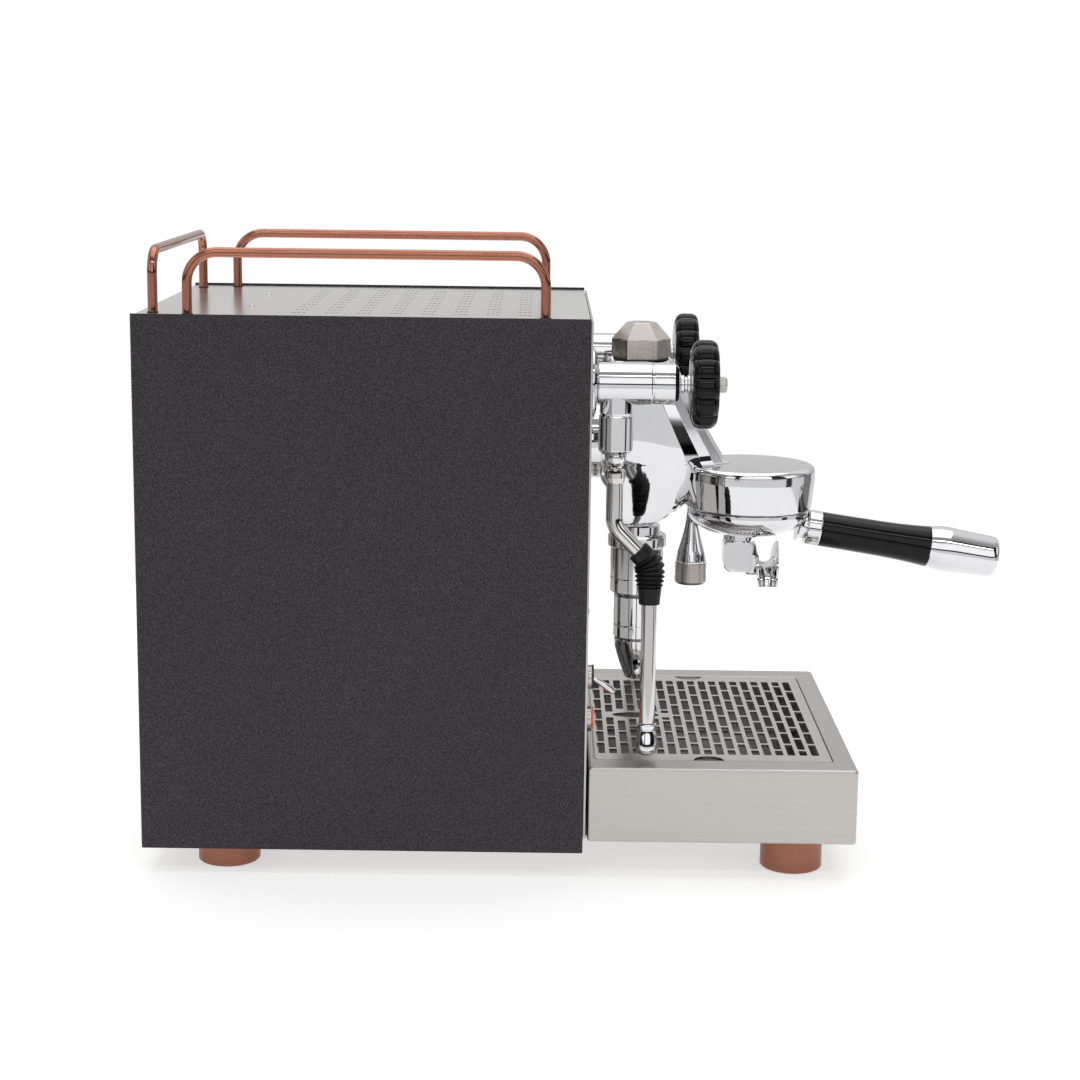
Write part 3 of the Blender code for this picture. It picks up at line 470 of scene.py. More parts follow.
def extruded(name, outline, along, low, high, radius=0.0, segments=3, sharp=33.0):
    """An outline run along a layout axis: "x" takes (d, z), "d" takes (x, z), "z" takes (x, d)."""
    place = {"x": lambda p, t: pt(t, p[0], p[1]), "d": lambda p, t: pt(p[0], t, p[1]), "z": lambda p, t: pt(p[0], p[1], t)}[along]
    bm = bmesh.new()
    a = [bm.verts.new(place(p, low)) for p in outline]
    b = [bm.verts.new(place(p, high)) for p in outline]
    n = len(outline)
    ends = [bm.faces.new(a), bm.faces.new(b)]
    for i in range(n):
        j = (i + 1) % n
        bm.faces.new((a[i], a[j], b[j], b[i]))
    if radius:
        edges = list({e for f in ends for e in f.edges})
        bmesh.ops.bevel(bm, geom=edges, offset=radius * MM, segments=segments, profile=0.5, affect="EDGES")
    return made(name, bm, sharp)


def rounded_path(points, radius, steps=12):
    pts = [Vector(p) for p in points]
    out = [pts[0]]
    for before, here, after in zip(pts, pts[1:], pts[2:]):
        a, b = (before - here).normalized(), (after - here).normalized()
        angle = a.angle(b)
        reach = min(radius / math.tan(angle / 2), (before - here).length * 0.49, (after - here).length * 0.49)
        r = reach * math.tan(angle / 2)
        centre = here + (a + b).normalized() * (r / math.sin(angle / 2))
        start, end = here + a * reach - centre, here + b * reach - centre
        sweep_angle = start.angle(end)
        turn_axis = start.cross(end).normalized()
        for k in range(steps + 1):
            out.append(centre + Matrix.Rotation(sweep_angle * k / steps, 3, turn_axis) @ start)
    out.append(pts[-1])
    return out


def resampled(path, step):
    """Points at an even spacing along a polyline."""
    path = [Vector(p) for p in path]
    lengths = [0.0]
    for a, b in zip(path, path[1:]):
        lengths.append(lengths[-1] + (b - a).length)
    count = max(2, round(lengths[-1] / step))
    out, i = [], 0
    for k in range(count + 1):
        at = lengths[-1] * k / count
        while i < len(path) - 2 and lengths[i + 1] < at:
            i += 1
        out.append(path[i].lerp(path[i + 1], (at - lengths[i]) / (lengths[i + 1] - lengths[i])))
    return out, lengths[-1]


def along(name, path, radii, seg=32, hint=(1, 0, 0), inner=None, sharp=33.0):
    """A round bar along layout points, or a sleeve if inner gives a bore radius."""
    path = [Vector(p) for p in path]
    if not isinstance(radii, (list, tuple)):
        radii = [radii] * len(path)
    side, across = Vector(hint), []
    for i in range(len(path)):
        ahead = (path[min(i + 1, len(path) - 1)] - path[max(i - 1, 0)]).normalized()
        side = (side - ahead * side.dot(ahead)).normalized()
        across.append((side.copy(), ahead.cross(side)))
    bm = bmesh.new()

    def ring(i, r):
        u, v = across[i]
        return [bm.verts.new(pt(*(path[i] + (u * math.cos(t) + v * math.sin(t)) * r))) for t in (2 * math.pi * k / seg for k in range(seg))]

    rows = [ring(i, r) for i, r in enumerate(radii)]
    if inner is not None:
        rows += [ring(i, inner) for i in reversed(range(len(path)))]
        pairs = list(zip(rows, rows[1:])) + [(rows[-1], rows[0])]
    else:
        pairs = list(zip(rows, rows[1:]))
        bm.faces.new(rows[0])
        bm.faces.new(rows[-1])
    for a, b in pairs:
        for k in range(seg):
            m = (k + 1) % seg
            bm.faces.new((a[k], a[m], b[m], b[k]))
    return made(name, bm, sharp)


def plate(name, outline, holes, low, high, sharp=33.0):
    """A flat sheet between two heights, with holes. Outlines are lists of (x, d)."""
    curve = bpy.data.curves.new(name, "CURVE")
    curve.dimensions = "2D"
    curve.fill_mode = "BOTH"
    curve.extrude = (high - low) / 2 * MM
    for ring in [outline] + holes:
        part = curve.splines.new("POLY")
        part.points.add(len(ring) - 1)
        for point, (x, d) in zip(part.points, ring):
            co = pt(x, d, 0)
            point.co = (co.x, co.y, 0.0, 1.0)
        part.use_cyclic_u = True
    source = bpy.data.objects.new(name + "_curve", curve)
    bpy.context.scene.collection.objects.link(source)
    bpy.context.view_layer.update()
    mesh = bpy.data.meshes.new_from_object(source.evaluated_get(bpy.context.evaluated_depsgraph_get()))
    bpy.data.objects.remove(source)
    bpy.data.curves.remove(curve)
    bm = bmesh.new()
    bm.from_mesh(mesh)
    bpy.data.meshes.remove(mesh)
    height = pt(0, 0, (low + high) / 2).z
    for v in bm.verts:
        v.co.z += height
    return made(name, bm, sharp)


def slab(xs, ds, radius, n=4):
    """A rounded rectangle as (x, d) points."""
    (x0, x1), (d0, d1) = xs, ds
    return soft([(x0, d0, radius), (x1, d0, radius), (x1, d1, radius), (x0, d1, radius)], n)


def disc(x, d, r, count=14):
    return [(x + r * math.cos(t), d + r * math.sin(t)) for t in (2 * math.pi * k / count for k in range(count))]


def ring_at(x, d, z, r, count=64):
    return [(x + r * math.cos(t), d + r * math.sin(t), z) for t in (2 * math.pi * k / count for k in range(count))]


def joined(name, *objs):
    """Separate shapes kept as one piece."""
    bm = bmesh.new()
    sharp = objs[0]["sharp"]
    for obj in objs:
        bm.from_mesh(obj.data)
        bpy.data.objects.remove(obj)
    return made(name, bm, sharp)


def carry(node_name, finish, radius=0.4, segments=2, slot=None):
    """Keeps a CAD node, with eased edges and a real finish."""
    obj = NODES[node_name]
    obj.data.materials.clear()
    obj.data.materials.append(M[finish])
    if radius:
        modifier = obj.modifiers.new("eased", "BEVEL")
        modifier.width = radius * MM
        modifier.segments = segments
        modifier.limit_method = "ANGLE"
        modifier.angle_limit = math.radians(35)
        modifier.use_clamp_overlap = True
        modifier.harden_normals = True
    return obj


# --------------------------------------------------------------------- camera
camera_data = bpy.data.cameras.new("camera")
camera_data.sensor_width = 36.0
camera_data.lens = 72.893
camera_data.clip_end = 30.0
camera = bpy.data.objects.new("camera", camera_data)
bpy.context.scene.collection.objects.link(camera)
camera.matrix_world = Matrix((
    (0.00293322, 0.18965097, -0.98184719, PANEL_X * MM - 1.30076),
    (-0.99991527, 0.01300882, -0.00047445, REAR_Y - 0.246405),
    (0.01268269, 0.98176539, 0.18967306, BASE_Z + 0.449789),
    (0.0, 0.0, 0.0, 1.0),
))
bpy.context.scene.camera = camera

# -------------------------------------------------------------- housing sheets
for side in ("side_panel_left", "side_panel_right"):
    carry(side, "powder", 0.55, 3)
carry("front_panel", "front", 0.35, 2)
carry("rear_panel", "brushed_x", 0.3, 2)
carry("base_plate", "brushed", 0.3, 2)
for name, finish in (
        ("boiler", "brass"), ("heating_element", "chrome_bar"), ("pump", "dark"), ("control_box", "dark"),
        ("pressure_switch", "brass"), ("steam_pipe", "copper"), ("water_pipe", "copper"), ("power_inlet", "dark")):
    carry(name, finish, 0.3, 2)
carry("water_tank", "clear", 0.8, 3)


def screw_head(name, x, d, z, r=3.2, axis="d", out=1):
    """A domed cross-recess screw head that stands off a face."""
    h = 1.7 * out
    head = turned(name, soft([(0, -0.6 * out), (r, -0.6 * out), (r, 0.35 * out, 0.2), (r * 0.62, h, 1.0), (0, h)], 4, closed=False), (x, d, z), axis, 36)
    for a, b in ((r * 0.55, r * 0.13), (r * 0.13, r * 0.55)):
        if axis == "d":
            head = cut(head, block("slot", (x - a, x + a), sorted((d + 0.75 * out, d + 3.0 * out)), (z - b, z + b)))
        else:
            head = cut(head, block("slot", (x - a, x + a), (d - b, d + b), sorted((z + 0.75 * out, z + 3.0 * out))))
    return head


REAR_FACE = span("rear_panel")[1][0]
heads = [screw_head(f"screw_{i}", x, REAR_FACE, z, 3.0, "d", -1)
         for i, (x, z) in enumerate([(s * 114.0, z) for s in (-1, 1) for z in (12.0, 116.0, 220.0, 318.0)])]
dress(joined("rear_screws", *heads), "nickel", "machine", slot="satin_nickel")

for side, x in (("left", -1), ("right", 1)):
    for end in ("rear", "front"):
        foot = f"foot_{end}_{side}"
        xs, ds, zs = span(foot)
        r, cx, cd = (xs[1] - xs[0]) / 2, middle(xs), middle(ds)
        body = turned(foot + "_shell", soft([
            (0, zs[0] + 0.9), (r - 3.2, zs[0] + 0.9), (r - 3.2, zs[0] + 0.35, 0.2), (r - 0.9, zs[0] + 0.35, 0.3), (r, zs[0] + 1.2, 0.5),
            (r, zs[1] - 0.5, 0.45), (r - 1.0, zs[1], 0.3), (0, zs[1])], 4, closed=False), (cx, cd, 0), "z", 96)
        dress(body, "copper_foot", "machine", foot, slot="copper_finish")
        pad = turned(foot + "_pad", soft([
            (0, zs[0]), (r - 4.4, zs[0], 0.3), (r - 3.9, zs[0] + 0.7), (0, zs[0] + 0.7)], 3, closed=False), (cx, cd, 0), "z", 72)
        dress(pad, "rubber", "machine", slot="black_rubber")

# ------------------------------------------------------------------- cup tray
rows, groups = 10, 8
holes = []
for g in range(groups):
    for k in range(3):
        d = 96.7 + 19.71 * g + (k - 1) * 2.95
        for n in range(rows):
            holes.append(disc(-88.0 + 176.0 * n / (rows - 1) + (k - 1) * 0.0, d, 1.15, 12))
top = plate("cup_tray_sheet", slab(TOP_X, TOP_D, 1.5, 3), holes, TOP_ZS[0], TOP_ZS[1])
dress(top, "top", "cup_tray", "cup_tray_top", slot="polished_stainless")
# Painted shadow: the walls of the perforation holes get the near-black shadow finish, so the holes read dark as if in
# shade.
top.data.materials.append(M["shadow"])
for face in top.data.polygons:
    inside = abs(face.center.x - middle(TOP_X) * MM) < 0.1 and abs(face.center.y - pt(0, middle(TOP_D), 0).y) < 0.12
    if abs(face.normal.z) < 0.3 and inside:
        face.material_index = 1
rivets = [turned(f"rivet_{i}", soft([(0, TOP_Z - 0.3), (1.7, TOP_Z - 0.3), (1.7, TOP_Z + 0.25, 0.2), (1.0, TOP_Z + 0.75, 0.5), (0, TOP_Z + 0.8)], 3, closed=False), (x, 62.0, 0), "z", 24)
          for i, x in enumerate((-44.5, 44.5))]
dress(joined("tray_rivets", *rivets), "nickel", "cup_tray", slot="satin_nickel")

for side in ("left", "right"):
    xs, ds, zs = span(f"rail_{side}")
    r, x = (xs[1] - xs[0]) / 2, middle(xs)
    path = rounded_path([(x, ds[0] + r, TOP_Z + 0.1), (x, ds[0] + r, zs[1] - r), (x, ds[1] - r, zs[1] - r), (x, ds[1] - r, TOP_Z + 0.1)], 22.0, 16)
    dress(along(f"rail_{side}_bar", path, r, 36), "copper", "cup_tray", f"rail_{side}", slot="copper_finish")
xs, ds, zs = span("rail_rear")
r = (ds[1] - ds[0]) / 2
path = rounded_path([(xs[0] + r, middle(ds), TOP_Z + 0.1), (xs[0] + r, middle(ds), zs[1] - r), (xs[1] - r, middle(ds), zs[1] - r), (xs[1] - r, middle(ds), TOP_Z + 0.1)], 14.0, 14)
dress(along("rail_rear_bar", path, r, 36, hint=(0, 1, 0)), "copper", "cup_tray", "rail_rear", slot="copper_finish")
# Painted shadow: thin near-black rings where the rails meet the cup tray. They stand in for the shade at the rail feet.
rail_foot_shadow_rings = [turned("ferrule", soft([(r * 0.9, TOP_Z + 0.02), (r + 0.55, TOP_Z + 0.02), (r + 0.35, TOP_Z + 0.6, 0.2), (r * 0.9, TOP_Z + 0.7)], 2), (x, d, 0), "z", 36)
            for x, d in [(s * 110.0, d) for s in (-1, 1) for d in (span("rail_left")[1][0] + r, span("rail_left")[1][1] - r)]
            + [(xs[0] + r, middle(ds)), (xs[1] - r, middle(ds))]]
dress(joined("rail_foot_shadows", *rail_foot_shadow_rings), "shadow", "cup_tray", slot="black_rubber")

# ----------------------------------------------------------------- brew group
_, mount_ds, _ = span("group_mount")
g0 = mount_ds[1] + 0.3
mount = turned("group_neck", soft([
    (0, mount_ds[0]), (17.0, mount_ds[0]), (17.0, FRONT + 0.4), (26.0, FRONT + 0.4, 0.4), (26.0, g0 - 4.4, 1.2),
    (23.5, g0 - 4.4), (23.5, g0 - 0.15), (0, g0 - 0.15)], 4, closed=False), (0, 0, MOUNT_Z), "d", 112)
dress(mount, "chrome", "machine", "group_mount", slot="chrome_plate")

COLUMN = [  # z, rear d, side d, spine d, half width
    (186.2, 298.0, 314.0, 317.5, 12.6), (187.6, 295.6, 317.0, 320.5, 14.0), (190.5, 293.0, 323.0, 327.0, 15.0),
    (195.0, 291.2, 328.5, 334.0, 15.8), (200.0, 290.4, 332.0, 342.0, 16.4), (207.0, 290.0, 334.0, 351.0, 17.4),
    (216.0, 290.0, 335.6, 361.0, 18.8), (225.5, 290.0, 337.8, 370.0, 20.1), (228.2, 290.0, 338.8, 372.0, 20.5),
    (229.4, 290.0, 339.0, 369.2, 20.7), (231.4, 290.0, 339.2, 367.0, 21.0), (234.0, 290.0, 339.0, 365.6, 21.3),
    (237.0, 290.0, 338.0, 363.8, 21.7), (244.0, 290.0, 334.9, 359.4, 22.4), (256.0, 290.0, 329.6, 352.4, 23.2), (269.0, 290.0, 324.0, 345.2, 23.8),
    (288.0, 290.0, 316.0, 335.0, 23.6), (293.0, 290.3, 313.8, 332.0, 22.8), (295.4, 291.4, 312.4, 330.0, 21.4),
    (296.3, 293.2, 310.6, 327.6, 19.6)]


def column_level(z):
    rear, side, spine, half = blend_keys(COLUMN, z)
    reach, bulge = spine - side, 0.75 * min(1.0, (side - rear) / 34.0)
    right = [(half, rear, 3.0)]
    right += [(half + bulge * (1 - u * u), (rear + side) / 2 + u * (side - rear) / 2) for u in (-0.75, -0.5, -0.25, 0.0, 0.25, 0.5, 0.75)]
    right += [(half, side, 0.9), (half * 0.80, side + reach * 0.36, 1.2), (half * 0.53, side + reach * 0.65, 2.0),
              (half * 0.26, side + reach * 0.87, 3.0), (0.0, spine, 5.0)]
    outline = right + [(-p[0], *p[1:]) for p in reversed(right[:-1])]
    return [(x, d, z) for x, d in soft(outline, 4)]


levels = sorted(
    [186.2 + 0.35 * k for k in range(12)] + [190.5 + 1.8 * k for k in range(17)] + [222.0 + 0.45 * k for k in range(28)]
    + [235.0 + 3.4 * k for k in range(16)] + [289.5 + 0.55 * k for k in range(13)])
levels = [z for i, z in enumerate(levels) if i == 0 or z - levels[i - 1] > 0.1]
levels = [z for z in levels if z < 296.2] + [296.3]
group = lofted("group_casting", [column_level(z) for z in levels], 38)
bell = turned("bell", soft([
    (0, 228.2), (24.0, 228.1), (43.1, 227.5, 4.2), (43.5, 219.0, 10.0), (41.5, 199.2, 1.3), (36.2, 199.2, 0.4), (36.2, 212.0), (0, 212.0)], 7, closed=False),
    (0, BELL_D, 0), "z", 144)
group = unite(group, bell)
group = cut(group, turned("recess", [(0, 190.0), (36.2, 190.0), (36.2, 212.0), (0, 212.0)], (0, BELL_D, 0), "z", 144))
group = unite(group, turned("lever_boss", soft([
    (0, 12.0), (11.0, 12.0), (11.0, 30.5, 0.6), (10.0, 31.4), (10.0, 32.4), (11.0, 33.2, 0.4), (10.4, 37.2, 1.2), (6.8, 38.0), (0, 38.0)], 4, closed=False),
    (0, 318.0, 222.0), "x", 72))
dress(group, "chrome", "machine", "group_body", slot="chrome_plate")

# The hexagonal cap: a faceted crown over wrench flats with arched tops.
R = 19.2
cap = turned("group_crown", soft([
    (0, 296.6), (R - 0.9, 296.6), (R, 297.6, 0.6), (R, 309.2, 0.7), (9.6, 320.0, 1.1), (0, 320.4)], 3, closed=False), (0, CHAMBER_D, 0), "z", 6, math.radians(90), 12)
arch = soft([(-7.5, 290.0), (7.5, 290.0), (7.5, 306.4, 3.2), (3.6, 309.6, 5.0), (-3.6, 309.6, 5.0), (-7.5, 306.4, 3.2)], 5)
for k in range(6):
    tool = extruded("flat", arch, "x", -R * 0.866 - 3.0, -R * 0.866 + 0.55)
    tool.data.transform(Matrix.Translation(-pt(0, 0, 0)))
    tool.data.transform(Matrix.Rotation(math.radians(60 * k), 4, "Z"))
    tool.data.transform(Matrix.Translation(pt(0, CHAMBER_D, 0)))
    cap = cut(cap, tool)
cap_bevel = cap.modifiers.new("eased", "BEVEL")
cap_bevel.width, cap_bevel.segments, cap_bevel.limit_method, cap_bevel.angle_limit = 0.35 * MM, 3, "ANGLE", math.radians(14)
dress(cap, "nickel", "machine", "group_cap", slot="satin_nickel")
# Painted shadow: a thin near-black ring under the cap stands in for the shade in the seam between cap and column.
dress(turned("crown_seam_shadow", soft([(12.0, 296.32), (18.2, 296.32), (18.2, 296.75, 0.1), (12.0, 296.75)], 2), (0, CHAMBER_D, 0), "z", 72), "shadow", "machine", slot="black_rubber")

gasket = turned("group_seal", soft([(31.6, 207.4, 0.6), (35.6, 207.4, 0.6), (35.6, 211.7, 0.3), (31.6, 211.7, 0.3)], 3), (0, BELL_D, 0), "z", 96)
dress(gasket, "rubber", "machine", "group_gasket", slot="black_rubber")
screen = turned("shower_plate", soft([(0, 203.4), (27.0, 203.4, 0.5), (27.4, 205.2, 0.6), (8.0, 206.6), (8.0, 211.7), (0, 211.7)], 3, closed=False), (0, BELL_D, 0), "z", 96)
dress(screen, "chrome_bar", "machine", "shower_screen", slot="polished_stainless")
# Painted shadow: shallow near-black discs on the shower plate stand in for the shade in its holes. The centre screw
# head also gets the near-black shadow finish.
points = [turned("hole_shadow", [(0, 202.9), (0.7, 202.9), (0.7, 203.5), (0, 203.5)], (ringr * math.cos(t), BELL_D + ringr * math.sin(t), 0), "z", 8)
          for ringr, count in ((7.0, 8), (13.0, 14), (19.0, 20), (24.0, 26)) for t in (2 * math.pi * k / count for k in range(count))]
points.append(turned("screen_screw", soft([(0, 202.4), (3.4, 202.4, 0.5), (3.4, 203.6), (0, 203.6)], 3, closed=False), (0, BELL_D, 0), "z", 32))
dress(joined("shower_hole_shadows", *points), "shadow", "machine", slot="chrome_plate")

chamber = turned("lower_chamber_shell", soft([
    (0, 140.2), (16.0, 140.2), (17.4, 141.6, 0.6), (17.4, 150.6), (17.0, 151.0), (17.4, 151.4), (17.4, 171.2, 0.4), (19.2, 172.2, 0.8), (19.2, 178.8, 1.6),
    (17.6, 180.4, 0.5), (15.0, 180.6, 0.3), (15.0, 186.0), (0, 186.0)], 4, closed=False), (0, CHAMBER_D, 0), "z", 112)
dress(chamber, "chrome", "machine", "lower_chamber", slot="chrome_plate")
drain = turned("drain_valve_shell", soft([
    (0, 109.6), (13.4, 109.6), (14.7, 110.9, 0.6), (14.7, 118.4, 0.2), (14.2, 118.9), (14.7, 119.4, 0.2), (14.7, 138.4, 0.9), (13.4, 139.9, 0.3), (0, 139.9)], 4, closed=False),
    (0, CHAMBER_D, 0), "z", 112)
dress(drain, "chrome", "machine", "drain_valve", slot="chrome_plate")

SPOUT = [(109.3, CHAMBER_D + 0.2, 13.8), (108.8, CHAMBER_D + 0.2, 14.2), (103.5, CHAMBER_D + 0.4, 14.1), (98.0, CHAMBER_D + 1.0, 13.2),
         (92.0, CHAMBER_D + 1.9, 12.1), (86.0, CHAMBER_D + 3.0, 10.9), (82.9, CHAMBER_D + 3.6, 10.3), (82.4, CHAMBER_D + 3.7, 9.9)]
spout = lofted("drain_funnel", [ring_at(0, d, z, r, 72) for z, d, r in SPOUT])
spout = cut(spout, lofted("bore", [ring_at(0, CHAMBER_D + 1.2, 104.0, 9.0, 48), ring_at(0, CHAMBER_D + 2.6, 92.0, 8.9, 48), ring_at(0, CHAMBER_D + 4.1, 79.0, 8.3, 48)]))
window = [(310.9 + 2.4 * math.cos(t) + (0.0 if math.sin(t) > 0 else 1.2), 91.2 + 2.4 * math.sin(t) + (3.4 if math.sin(t) > 0 else -3.4)) for t in (2 * math.pi * k / 32 + 0.01 for k in range(32))]
spout = cut(spout, extruded("window", window, "x", -30.0, 0.0))
dress(spout, "chrome", "machine", "drain_spout", slot="chrome_plate")

# ----------------------------------------------------------------- brew lever
lx, ld, lz = span("lever_arm")
AXIS_D, AXIS_Z = 318.0, 222.0
arm = turned("lever_hub", soft([
    (0, lx[0]), (6.0, lx[0]), (6.0, 52.6, 0.4), (8.2, 53.0, 0.8), (8.2, 67.0, 1.4), (5.4, 68.2, 0.4), (0, 68.2)], 4, closed=False), (0, AXIS_D, AXIS_Z), "x", 72)
bar = rounded_path([(LEVER_X, AXIS_D + 2.0, AXIS_Z - 2.0), (LEVER_X, LEVER_D - 0.2, 200.0), (LEVER_X, LEVER_D, 187.0)], 12.0, 10)
arm = unite(arm, along("bar", bar, [4.4] + [3.7] * (len(bar) - 3) + [3.5, 3.4], 32))
dress(arm, "chrome", "brew_lever", "lever_arm", slot="chrome_plate")
top_z = span("lever_handle")[2][1]
bottle = spline([(3.5, 0.4), (3.6, 5.0), (4.3, 11.0), (5.8, 18.0), (7.7, 25.0), (9.4, 31.0), (10.4, 36.6)], 6)
upper = turned("lever_grip_upper", [(0, top_z)] + [(3.2, top_z)] + [(r, top_z - h) for r, h in bottle] + [(10.35, top_z - 37.4), (0, top_z - 37.4)], (LEVER_X, LEVER_D, 0), "z", 96)
dress(upper, "chrome", "brew_lever", "lever_handle", slot="chrome_plate")
lower = turned("lever_grip_sleeve", soft([
    (0, top_z - 37.5), (10.2, top_z - 37.5), (10.75, top_z - 38.1, 0.3), (11.05, top_z - 50.8, 0.8), (10.0, top_z - 52.6, 0.8), (4.2, top_z - 52.6), (3.8, top_z - 51.8), (0, top_z - 51.8)], 4, closed=False),
    (LEVER_X, LEVER_D, 0), "z", 96)
dress(lower, "turned", "brew_lever", slot="brushed_stainless")

# ---------------------------------------------------------------- portafilter
bowl = [(14.0, 180.8)] + [tuple(p) for p in spline([(14.6, 180.9), (20.0, 181.6), (27.0, 183.6), (33.4, 187.0), (37.6, 190.6), (39.6, 194.0), (40.0, 196.4)], 5)]
profile = [(0, 180.8)] + bowl + soft([(40.0, 196.4), (40.0, 198.6, 0.7), (38.4, 198.75), (35.8, 198.75, 0.2), (35.8, 205.6, 0.4), (31.2, 205.6, 0.3), (31.2, 188.0, 2.0), (26.0, 185.0, 2.0), (0, 185.0)], 4, closed=False)[1:]
holder = turned("portafilter_bowl", profile, (0, BELL_D, 0), "z", 144)
ears = []
for a in (math.radians(18), math.radians(198)):
    ear = lofted("ear", [[(r * math.cos(a + t), BELL_D + r * math.sin(a + t), z) for r, z in ((34.0, 199.4), (40.3, 199.4), (40.3, 203.4), (34.0, 203.4))]
                         for t in (0.42 * k / 10 for k in range(11))])
    bpy.data.objects.remove(ear)
GRIP_A, GRIP_B = Vector((0, 421.6, 185.9)), Vector((0, 549.6, 166.4))
ALONG = (GRIP_B - GRIP_A).normalized()


def on_grip(s):
    return GRIP_A + ALONG * s


neck = along("neck", [on_grip(s) for s in (-5.8, -4.6, -3.0, -1.4, 0.6)], [10.4, 9.3, 8.6, 8.2, 8.2], 64)
holder = unite(holder, neck)
COLLAR = soft([(0.2, 9.9, 0.4), (0.2, 11.5, 0.0), (9.6, 11.5, 0.6)], 3, closed=False)
collar = along("collar", [on_grip(s) for s in (0.0, 0.35, 1.0, 1.6, 8.6, 9.3, 9.8)], [10.4, 11.0, 11.4, 11.5, 11.5, 11.4, 11.0], 96)
holder = unite(holder, collar)
dress(holder, "chrome", "portafilter", "portafilter_body", slot="chrome_plate")

basket = turned("coffee_basket", soft([
    (0, 186.2), (27.2, 186.2, 0.8), (28.6, 188.4, 1.0), (30.6, 202.0, 0.4), (30.6, 206.0), (34.6, 206.0, 0.3), (34.6, 206.9, 0.3), (29.6, 206.9, 0.8),
    (29.6, 202.0, 0.4), (27.6, 188.6, 0.8), (26.6, 187.2), (0, 187.2)], 3, closed=False), (0, BELL_D, 0), "z", 112)
dress(basket, "chrome_bar", "portafilter", "filter_basket", slot="polished_stainless")

grip_rows = [(10.0, 10.9), (10.5, 11.3), (12.0, 11.4), (30.0, 11.45), (46.0, 11.6), (56.0, 11.8), (64.0, 12.1), (72.0, 12.6), (78.0, 13.05), (81.6, 13.4), (82.1, 13.2)]
rows_in = spline(grip_rows, 4)
grip = along("grip_sleeve", [on_grip(s) for s, _ in rows_in], [r for _, r in rows_in], 112)
dress(grip, "black", "portafilter", "handle_grip", slot="black_gloss")
cap_rows = [(82.25, 13.1), (82.7, 13.5), (86.0, 14.1), (90.0, 14.7), (94.0, 14.85), (98.0, 14.7), (104.0, 14.35), (112.0, 13.95), (120.0, 13.65), (123.6, 13.5)]
rows_in = spline(cap_rows, 4) + [(125.2, 13.35), (126.5, 12.8), (127.4, 12.0), (128.0, 11.0), (128.3, 9.6), (128.4, 7.0)]
end_cap = along("grip_end_cap", [on_grip(s) for s, _ in rows_in], [r for _, r in rows_in], 112)
dress(end_cap, "chrome", "portafilter", "handle_cap", slot="chrome_plate")

outlet = extruded("twin_spout", soft([
    (367.5, 156.0, 5.0), (386.0, 156.0, 1.0), (386.0, 176.0, 1.2), (367.5, 176.0, 1.4)], 6), "x", -9.0, 9.0, 1.1, 3)
outlet = unite(
    outlet,
    turned("spout_nut", soft([(0, 172.0), (8.6, 172.0), (8.6, 176.6, 0.3), (9.6, 177.0, 0.3), (9.6, 180.4, 0.4), (0, 180.4)], 3, closed=False), (0, 377.0, 0), "z", 48),
    block("spout_root", (-7.0, 7.0), (382.0, 391.0), (153.6, 168.0), 2.2, 4))


def gutter(s):
    """One pouring channel: a deep open gutter that leaves the block and turns down."""
    rings, count = [], 22
    for k in range(count + 1):
        t = k / count
        angle = math.radians(-6 + 94 * t)
        x, z = 3.0 + 19.6 * math.sin(angle), 148.6 + 19.0 * math.cos(angle)
        outer = 8.6 - 2.2 * t
        inner = outer - 1.5
        wall = 8.0 * (1 - t) ** 1.3 + 0.3
        nx, nz = math.sin(angle), math.cos(angle)
        section = [(outer, -wall + 0.5), (outer, -wall * 0.5)] + [(outer * math.cos(math.pi * j / 14), outer * math.sin(math.pi * j / 14)) for j in range(15)]
        section += [(-outer, -wall * 0.5), (-outer, -wall + 0.5), (-outer + 0.35, -wall), (-inner - 0.35, -wall), (-inner, -wall + 0.5), (-inner, -wall * 0.5)]
        section += [(inner * math.cos(math.pi * j / 14), inner * math.sin(math.pi * j / 14)) for j in range(14, -1, -1)]
        section += [(inner, -wall * 0.5), (inner, -wall + 0.5), (inner + 0.35, -wall), (outer - 0.35, -wall)]
        rings.append([(s * (x - nx * depth), 395.3 + across, z - nz * depth) for across, depth in section])
    return lofted("gutter", rings, 40)


outlet = unite(outlet, gutter(-1), gutter(1))
dress(outlet, "chrome", "portafilter", "portafilter_spout", slot="chrome_plate")

